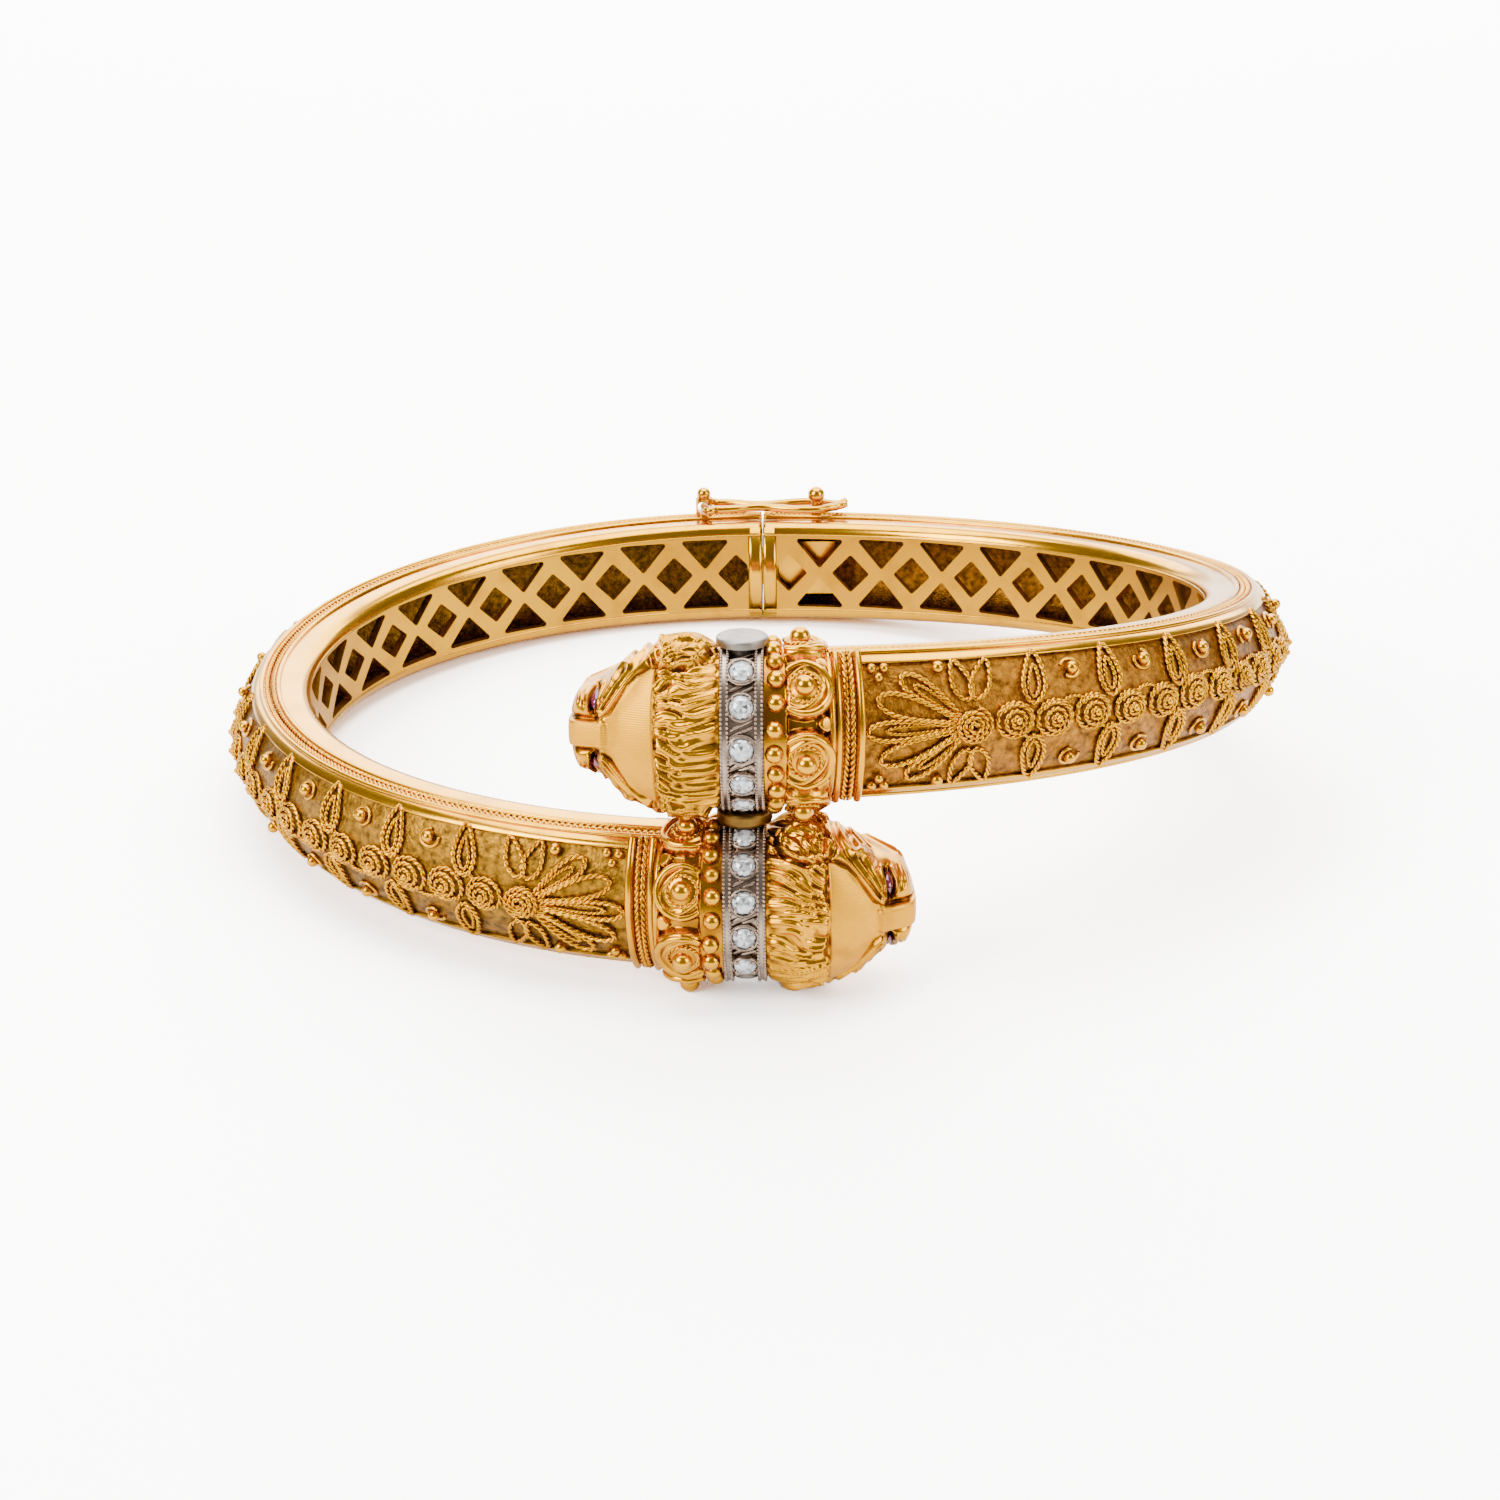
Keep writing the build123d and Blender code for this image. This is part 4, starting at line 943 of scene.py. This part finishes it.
def headRelief(s, w, girth, angle, seed):
    # Rise over the plain head in mm, with a mask that darkens recesses and grooves as tarnish and painted
    # shade, and one for the brushed forehead.
    # s runs from the pin to the nose, w is the offset across the crown, girth the arc from the crown.
    aw, ag = np.abs(w), np.abs(girth)
    top = 1 - smoothStep(angle, 92, 112)
    n1 = unevenness(0.45 * s, girth, seed, 1.5)
    n2 = unevenness(0.6 * s, girth, seed + 1, 3.2)
    # mane: rows of pointed tufts that spread from the forehead to the collar, each over the next
    front = 4.0 + 0.5 * smoothStep(angle, 70, 105) + 0.5 * smoothStep(angle, 115, 150) + 0.05 * n2
    mane = smoothStep(s, 1.22, 1.36) * (1 - smoothStep(s, front - 0.05, front + 0.06))
    fan = girth / (1 + 0.15 * (4.05 - s)) + 0.16 * n1
    tuft = np.zeros_like(s)
    for root, length, pitch, shift in ((0.0, 1.75, 0.60, 0.0), (0.65, 2.0, 0.68, 0.4), (1.35, 2.1, 0.64, 0.75)):
        t = (front - root - s + 0.16 * n1) / length
        cell = (fan / pitch + shift + 0.22 * np.sin(2.6 * t + 1.5 * n1)) % 1 - 0.5
        inside = np.clip(t, 0, 1)
        width = 0.06 + 0.46 * (1 - inside ** 2.4) ** 0.8
        lobe = np.clip(1 - (np.abs(cell) / width) ** 1.7, 0, 1) * (t > 0) * (1 - inside ** 6)
        lobe *= 0.78 + 0.22 * np.cos(6 * math.pi * cell)
        tuft = np.maximum(tuft, lobe * (1 - 0.12 * root) * (0.55 + 0.45 * np.sin(math.pi * inside ** 0.55)))
    rise = mane * (-0.10 + 0.44 * tuft)
    # darker between the tufts: tarnish and painted shade in the gaps
    dark = mane * np.clip(0.95 - 2.1 * tuft, 0, 1)
    # painted shade where the head meets the collar
    dark += 0.7 * (1 - smoothStep(s, 1.21, 1.28))
    # forehead plate and nose band
    plateHalf = np.interp(s, *foreheadPlate)
    zone = smoothStep(s, 4.02, 4.14) * (1 - smoothStep(s, 8.55, 8.8)) * top
    plate = (1 - smoothStep(aw, plateHalf - 0.06, plateHalf + 0.10)) * zone
    plate = plate * (1 - 0.5 * smoothStep(s, 5.6, 6.4))
    rise += 0.16 * plate
    edge = np.exp(-((aw - plateHalf - 0.15) / 0.09) ** 2) * zone
    rise -= 0.14 * edge
    dark += 0.75 * edge
    noseBand = (1 - smoothStep(aw, 0.5, 0.86)) * smoothStep(s, 6.3, 6.7) * top
    rise += 0.26 * noseBand * (1 - smoothStep(s, 8.3, 8.86))
    rise -= 0.04 * np.exp(-((s - 6.45) / 0.1) ** 2) * (aw < 0.8) * top
    seam = np.exp(-((s - 4.08) / 0.06) ** 2) * (aw < 3.8) * top
    dark += 0.45 * seam
    # brow folds from the inner eye back to the ear
    for points, width, height in (
            (((6.72, 0.98), (6.35, 1.45), (5.8, 2.35), (5.2, 3.2), (4.7, 3.85), (4.35, 4.4)), 0.17, 0.40),
            (((6.78, 1.30), (6.5, 1.85), (6.0, 2.75), (5.4, 3.6), (4.95, 4.25)), 0.15, 0.36),
            (((6.72, 1.85), (6.5, 2.4), (6.1, 3.1), (5.65, 3.75)), 0.14, 0.26)):
        rise += height * ridge(s, aw, points, width) * top
    for points in (((6.6, 1.35), (6.15, 2.05), (5.6, 2.85), (4.95, 3.75)),
                   ((6.6, 1.75), (6.25, 2.45), (5.7, 3.3))):
        groove = ridge(s, aw, points, 0.07) * top
        rise -= 0.12 * groove
        dark += 0.85 * groove
    # eye between its lids
    slit = ridge(s, aw, ((7.12, 1.25), (7.2, 1.85), (7.1, 2.45)), 0.2) * top
    rise -= 0.34 * slit
    # the broad dark round the slit is painted shade of the eye socket
    dark += slit + 0.55 * bump(s, aw, 7.25, 1.9, 0.55, 0.8) * top
    for points, width, height in ((((6.93, 1.2), (6.95, 1.9), (6.82, 2.6)), 0.10, 0.24),
                                  (((7.42, 1.3), (7.5, 1.9), (7.36, 2.4)), 0.10, 0.18),
                                  (((6.45, 2.9), (6.1, 3.45), (5.75, 3.9)), 0.2, 0.24)):
        rise += height * ridge(s, aw, points, width) * top
    # muzzle, whisker creases, cheek boss, nostrils and mouth
    rise += 0.42 * bump(s, aw, 7.95, 1.65, 0.5, 0.62) * top
    crease = np.exp(-((aw - 0.93) / 0.12) ** 2) * smoothStep(s, 6.8, 7.2) * top
    rise -= 0.16 * crease
    dark += 0.65 * crease
    for k in range(3):
        groove = ridge(s, aw, ((7.65 + 0.25 * k, 1.5), (7.75 + 0.22 * k, 2.3)), 0.06) * top
        rise -= 0.05 * groove
        dark += 0.4 * groove
    ball = np.hypot(s - 5.75, (ag - 4.05))
    rise += 0.34 * np.exp(-(ball / 0.3) ** 2)
    dark += 0.65 * np.exp(-((ball - 0.42) / 0.09) ** 2)
    mouth = ridge(s, angle / 20, ((8.7, 5.2), (8.0, 5.6), (7.2, 6.0), (6.6, 6.1)), 0.13)
    rise -= 0.32 * mouth
    dark += 0.9 * mouth
    rise += 0.22 * ridge(s, angle / 20, ((8.4, 4.6), (7.6, 5.1), (6.7, 5.5)), 0.2)
    rise += 0.22 * ridge(s, angle / 20, ((8.4, 6.6), (7.6, 6.8), (6.8, 6.9)), 0.25)
    for points in (((6.5, 4.2), (5.9, 4.9), (5.3, 5.8)), ((6.0, 4.0), (5.4, 4.6), (4.9, 5.4))):
        groove = ridge(s, angle / 20, points, 0.12)
        rise -= 0.16 * groove
        dark += 0.6 * groove
    # ear: a leaf-shaped lip with a groove round it, and fine curved lines in the mask
    earS, earG = s - 3.0, ag - 5.0 + 0.2 * (s - 3.0)
    ear = np.hypot(earS / 1.38, earG / (1.3 - 0.12 * earS))
    cup = 1 - smoothStep(ear, 0.9, 1.02)
    shell = np.hypot((earS + 0.5) / 1.5, (earG + 0.35) / 1.35)
    lines = np.sin(2 * math.pi * shell / 0.3)
    rise += 0.26 * np.exp(-((ear - 0.86) / 0.1) ** 2)
    rim = np.exp(-((ear - 1.08) / 0.08) ** 2)
    rise -= 0.16 * rim
    # the ear's cup is darker towards its middle as painted shade, with the curved lines
    dark = dark * (1 - cup) + cup * (0.25 - 0.25 * lines + 0.3 * (1 - smoothStep(shell, 0.2, 0.7))) + 0.85 * rim
    satin = np.clip(plate + noseBand, 0, 1) * (1 - cup)
    return rise, np.clip(dark, 0, 1), satin


def headSurface(seed):
    # Rows of superellipse rings whose half width, crown and jaw follow a table; relief is added
    # square to the ring and the last rows close in a rounded nose.
    t = np.linspace(0, 1, head["rows"])
    s1 = head["end"] - (head["end"] - head["start"]) * (1 - t) ** 1.35
    turn = np.linspace(0, 2 * math.pi, head["sides"], endpoint=False)
    ss, tt = np.meshgrid(s1, turn, indexing="ij")
    width, crown, jaw = (eased(ss, headSections[:, 0], headSections[:, i]) for i in (1, 2, 3))
    closing = np.clip((ss - head["roundFrom"]) / (head["end"] - head["roundFrom"]), 0, 1)
    nose = np.sqrt(np.clip(1 - closing ** 2.6, 0.0004, 1))
    q = head["squareness"]
    across = np.sign(np.sin(tt)) * np.abs(np.sin(tt)) ** q * width * nose
    tall = np.sign(np.cos(tt)) * np.abs(np.cos(tt)) ** q * np.where(np.cos(tt) > 0, crown, jaw) * nose
    signed = (tt + math.pi) % (2 * math.pi) - math.pi
    rise, dark, satin = headRelief(ss, across, signed * (width + crown) / 2, np.degrees(np.abs(signed)), seed)
    rise = rise * smoothStep(nose, 0.05, 0.6)
    return ss, tall + rise * np.cos(tt), across + rise * np.sin(tt), across, dark, satin


def lionHead(side, seed):
    ss, out, across, plain, dark, satin = headSurface(seed)
    # stations fan out with depth, so the first rows are drawn back to stay flush with the collar
    flush = 0.032 * (collar["axis"] + out) * np.exp(-((ss - head["start"]) / 0.35))
    verts, faces = capped(place(-ss + flush, collar["axis"] + out, across))
    marks = {"creviceTarnishAndShade": dark, "satin": satin, "brush": plain}
    marks = {key: np.concatenate((value.ravel(), (0.5, 0.0))) for key, value in marks.items()}
    return toRow(half(verts, side)), faces, marks


def rubyEyes():
    # Two pointed ovals let into the slits: half width follows a sine along the length.
    parts = []
    u = np.linspace(0.02, 0.98, 15)
    v = np.linspace(0, 2 * math.pi, 14, endpoint=False)
    uu, vv = np.meshgrid(u, v, indexing="ij")
    for way in (1, -1):
        s = -(7.16 + 0.24 * np.sin(math.pi * uu) * np.cos(vv))
        w = way * (1.32 + 1.12 * uu)
        width, crown, _ = (eased(np.abs(s), headSections[:, 0], headSections[:, i]) for i in (1, 2, 3))
        x = np.clip(np.abs(w) / width, 0, 0.999)
        turn = np.arcsin(x ** (1 / head["squareness"]))
        out = np.cos(turn) ** head["squareness"] * crown - 0.12 + 0.24 * np.sin(math.pi * uu) * np.sin(vv)
        parts.append(capped(place(s, collar["axis"] + out, w)))
    return parts


def addPiece(name, parts, side, body, slotName, material, nodes=(), smooth=True):
    verts, faces = joined([(p, orient(p, q)) for p, q in parts])
    return makeObject(name, toRow(half(verts, side)), faces, body, material, smooth, nodes)


def addFiligree(side, arm, body):
    wire = ("filigree_gold", paint["wire"])
    addPiece(f"{arm}BorderWires", [borderWires()], side, body, *wire)
    addPiece(f"{arm}EndBand", [endBand()], side, body, *wire, [f"{arm}_end_band"])
    parts, beads, beadRadius = filigree(np.random.default_rng(7 if side > 0 else 11))
    addPiece(f"{arm}Filigree", parts, side, body, *wire, [f"{arm}_rosettes", f"{arm}_petals"])
    fan, fanBeads, fanRadius = fanParts()
    addPiece(f"{arm}FanLoops", fan, side, body, *wire, [f"{arm}_fan"])
    grains = balls(np.array(beads + fanBeads), np.array(beadRadius + fanRadius), rows=8, sides=14)
    addPiece(f"{arm}Granules", [grains], side, body, *wire, [f"{arm}_granules"])


def addScrollCollar(side, top, body):
    phase = scroll[f"{top}Phase"]
    verts, faces, creviceTarnishAndShade = scrollBarrel(phase)
    makeObject(f"{top}ScrollCollar", toRow(half(verts, side)), orient(verts, faces), body,
               paint["head"], replaced=[f"{top}_scroll_collar"], marks={"creviceTarnishAndShade": creviceTarnishAndShade})
    addPiece(f"{top}ScrollBosses", [scrollOrnament(phase)], side, body, "filigree_gold", paint["wire"])


def addStones(side, top, body):
    angles = stones[top]
    addPiece(f"{top}CollarTrim", [collarTrim(angles)], side, body, "white_metal", paint["white"])
    v, f = brilliant()
    gems = []
    for angle in angles:
        point, normal, along, around = spotFrame(angle)
        gems.append((point + v[:, :1] * along + v[:, 1:2] * around + (v[:, 2:] + stones["seat"]) * normal, f))
    names = [f"{top}_diamond_{k + 1}" for k in range(len(angles))]
    gems = addPiece(f"{top}Diamonds", gems, side, body, "diamond", paint["diamond"], names, smooth=False)
    # random dark and bright facets: painted reflections
    glintTone = gems.data.attributes.new("facetGlint", "FLOAT", "FACE")
    values = np.random.default_rng(2 + side).uniform(0, 1, len(gems.data.polygons)) ** 0.8
    glintTone.data.foreach_set("value", values.astype(np.float32))


def addHead(side, top, body):
    verts, faces, marks = lionHead(side, 3 if side > 0 else 5)
    makeObject(f"{top}LionHead", verts, orient(verts, faces), body, paint["head"],
               replaced=[f"{top}_lion_head"], marks=marks)
    addPiece(f"{top}Eyes", rubyEyes(), side, body, "ruby", paint["ruby"], [f"{top}_eye_1", f"{top}_eye_2"])


for side, arm, top, body in ((1, "right", "upper", "right_half"), (-1, "left", "lower", "left_half")):
    bandSurface(side, f"{arm}BandShell", body, [f"{arm}_arm"])
    addFiligree(side, arm, body)
    addScrollCollar(side, top, body)
    addStones(side, top, body)
    addHead(side, top, body)
    print(arm, "half ready")


def assign(node, material):
    obj = frame["nodes"][node]
    obj.data.materials.clear()
    obj.data.materials.append(material)


for arm, top in (("right", "upper"), ("left", "lower")):
    assign(f"{arm}_gallery", paint["gallery"])
    assign(f"{top}_diamond_collar", paint["white"])
for node, key in (("pivot_pin", "grey"), ("spacer_washer", "dark"), ("clasp_tongue", "clasp"),
                  ("clasp_box", "clasp"), ("catch_post", "clasp"), ("catch_knob", "clasp")):
    assign(node, paint[key])


# Safety catch: a closed wire bent into a figure of eight

catch = {"y": oval["halfDepth"] + 2.3, "rim": 3.7, "lift": 0.8, "wire": 0.3,
         "along": (-4.35, -4.2, -3.3, -2.0, -0.9, -0.2, 0.7, 2.0, 3.2, 4.2, 5.0, 5.5),
         "halfWidth": (0.0, 0.75, 1.02, 0.85, 0.45, 0.36, 0.5, 0.95, 1.2, 1.1, 0.6, 0.36)}


def safetyCatch():
    # Wire loop: half width follows a table along x, wide at both eyes and narrow over the seam.
    x, w = (np.array(catch[key]) for key in ("along", "halfWidth"))
    xs = np.linspace(x[0], x[-1], 160)
    ws = np.clip(eased(xs, x, w), 0.0, None)
    height = catch["rim"] + catch["lift"]
    near = np.column_stack((xs, catch["y"] - ws, np.full_like(xs, height)))
    far = np.column_stack((xs, catch["y"] + ws, np.full_like(xs, height)))[::-1]
    path = np.concatenate((near, far))
    path, normal, _ = evenPath(path, np.tile((0.0, 0.0, 1.0), (len(path), 1)), 0.12)
    parts = [tube(path, normal, catch["wire"], 10)]
    t = np.linspace(0, 1, 16)
    for way in (1, -1):
        tail = np.column_stack((5.3 + 0.9 * t, catch["y"] + way * (0.3 + 0.35 * t ** 2),
                                height + 0.25 * t ** 2))
        parts.append(tube(tail, (0.0, 0.0, 1.0), 0.3 - 0.06 * t, 10))
    return parts


addPiece("safetyLoop", safetyCatch(), 1, "safety_catch", "clasp_gold", paint["clasp"], ["safety_catch"])
print("catch ready")


# Stage, lights and camera

def stageFloor():
    size = 1.2
    t = np.linspace(0, 1, 24)
    y = np.concatenate((np.linspace(-size, 0.35, 6), 0.35 + 0.3 * np.sin(t * math.pi / 2), [0.65, 0.65]))
    z = np.concatenate((np.zeros(6), 0.3 * (1 - np.cos(t * math.pi / 2)), [0.9, 1.6]))
    verts = np.concatenate([np.column_stack((np.full_like(y, x), y, z)) for x in (-size * 1.5, size * 1.5)])
    mesh = bpy.data.meshes.new("paleFloor")
    n = len(y)
    faces = [(i, i + n, i + n + 1, i + 1) for i in range(n - 1)]
    mesh.from_pydata(verts.tolist(), [], faces)
    mesh.polygons.foreach_set("use_smooth", [True] * len(faces))
    obj = bpy.data.objects.new("paleFloor", mesh)
    bpy.context.scene.collection.objects.link(obj)
    m = bpy.data.materials.new("palePaper")
    m.use_nodes = True
    shader = m.node_tree.nodes["Principled BSDF"]
    shader.inputs["Base Color"].default_value = (0.93, 0.93, 0.93, 1)
    shader.inputs["Roughness"].default_value = 0.7
    shader.inputs["Specular IOR Level"].default_value = 0.2
    tree = m.node_tree
    paper = tree.nodes.new("ShaderNodeBsdfDiffuse")
    paper.inputs["Color"].default_value = (2.3, 2.25, 2.2, 1)
    rays = tree.nodes.new("ShaderNodeLightPath")
    mix = tree.nodes.new("ShaderNodeMixShader")
    link(tree, rays.outputs["Is Camera Ray"], mix.inputs["Fac"])
    link(tree, shader.outputs["BSDF"], mix.inputs[1])
    link(tree, paper.outputs["BSDF"], mix.inputs[2])
    link(tree, mix.outputs["Shader"], tree.nodes["Material Output"].inputs["Surface"])
    mesh.materials.append(m)


def areaLight(name, position, size, power):
    data = bpy.data.lights.new(name, "AREA")
    data.shape = "RECTANGLE"
    data.size, data.size_y = size
    data.energy = power
    obj = bpy.data.objects.new(name, data)
    obj.location = position
    way = Vector(lightTarget) - Vector(position)
    obj.rotation_euler = way.to_track_quat("-Z", "Y").to_euler()
    bpy.context.scene.collection.objects.link(obj)


# Place and size in metres, power in watts; each light looks at the middle of the bangle
lightTarget = (0, 0, 0.01)
lights = {"softTop": ((0.0, 0.10, 0.46), (0.55, 0.42), 7.5),
          "softKey": ((-0.34, -0.24, 0.30), (0.26, 0.26), 4.2),
          "softFill": ((0.40, -0.20, 0.22), (0.20, 0.26), 1.8),
          "softBack": ((0.0, 0.40, 0.20), (0.70, 0.24), 5.0)}
worldStrength = 0.34
stageFloor()
for name, (position, size, power) in lights.items():
    areaLight(name, position, size, power)
world = bpy.data.worlds.new("studio")
world.use_nodes = True
bpy.context.scene.world = world
background = world.node_tree.nodes["Background"]
background.inputs["Color"].default_value = (1, 1, 1, 1)
background.inputs["Strength"].default_value = worldStrength

view = {"elevation": 19.81, "azimuth": -1.70, "roll": 0.79, "distance": 172.0, "focalPixels": 2590.4,
        "centreX": -0.42, "centreZ": -5.56, "image": 1500}


def addCamera():
    # Camera from the fit to the photo: turned about the pin frame's upright and tipped down.
    e, a, r = (math.radians(view[k]) for k in ("elevation", "azimuth", "roll"))
    right = np.array((math.cos(a), -math.sin(a), 0))
    ahead = np.array((math.sin(a) * math.cos(e), math.cos(a) * math.cos(e), -math.sin(e)))
    up = np.cross(right, ahead)
    centre = right * view["centreX"] + np.array((0, 0, view["centreZ"]))
    eye = centre - ahead * view["distance"]
    rolledRight = right * math.cos(r) - up * math.sin(r)
    rolledUp = np.cross(rolledRight, ahead)
    data = bpy.data.cameras.new("photoCamera")
    data.sensor_width = 36
    data.lens = view["focalPixels"] / view["image"] * 36
    data.clip_start = 0.01
    data.clip_end = 10
    obj = bpy.data.objects.new("photoCamera", data)
    bpy.context.scene.collection.objects.link(obj)
    axes = turnRow @ np.stack((rolledRight, rolledUp, -ahead), axis=1)
    obj.matrix_world = Matrix([[*axes[i], toRow(eye)[i]] for i in range(3)] + [[0, 0, 0, 1]])
    bpy.context.scene.camera = obj


addCamera()
print("camera ready")
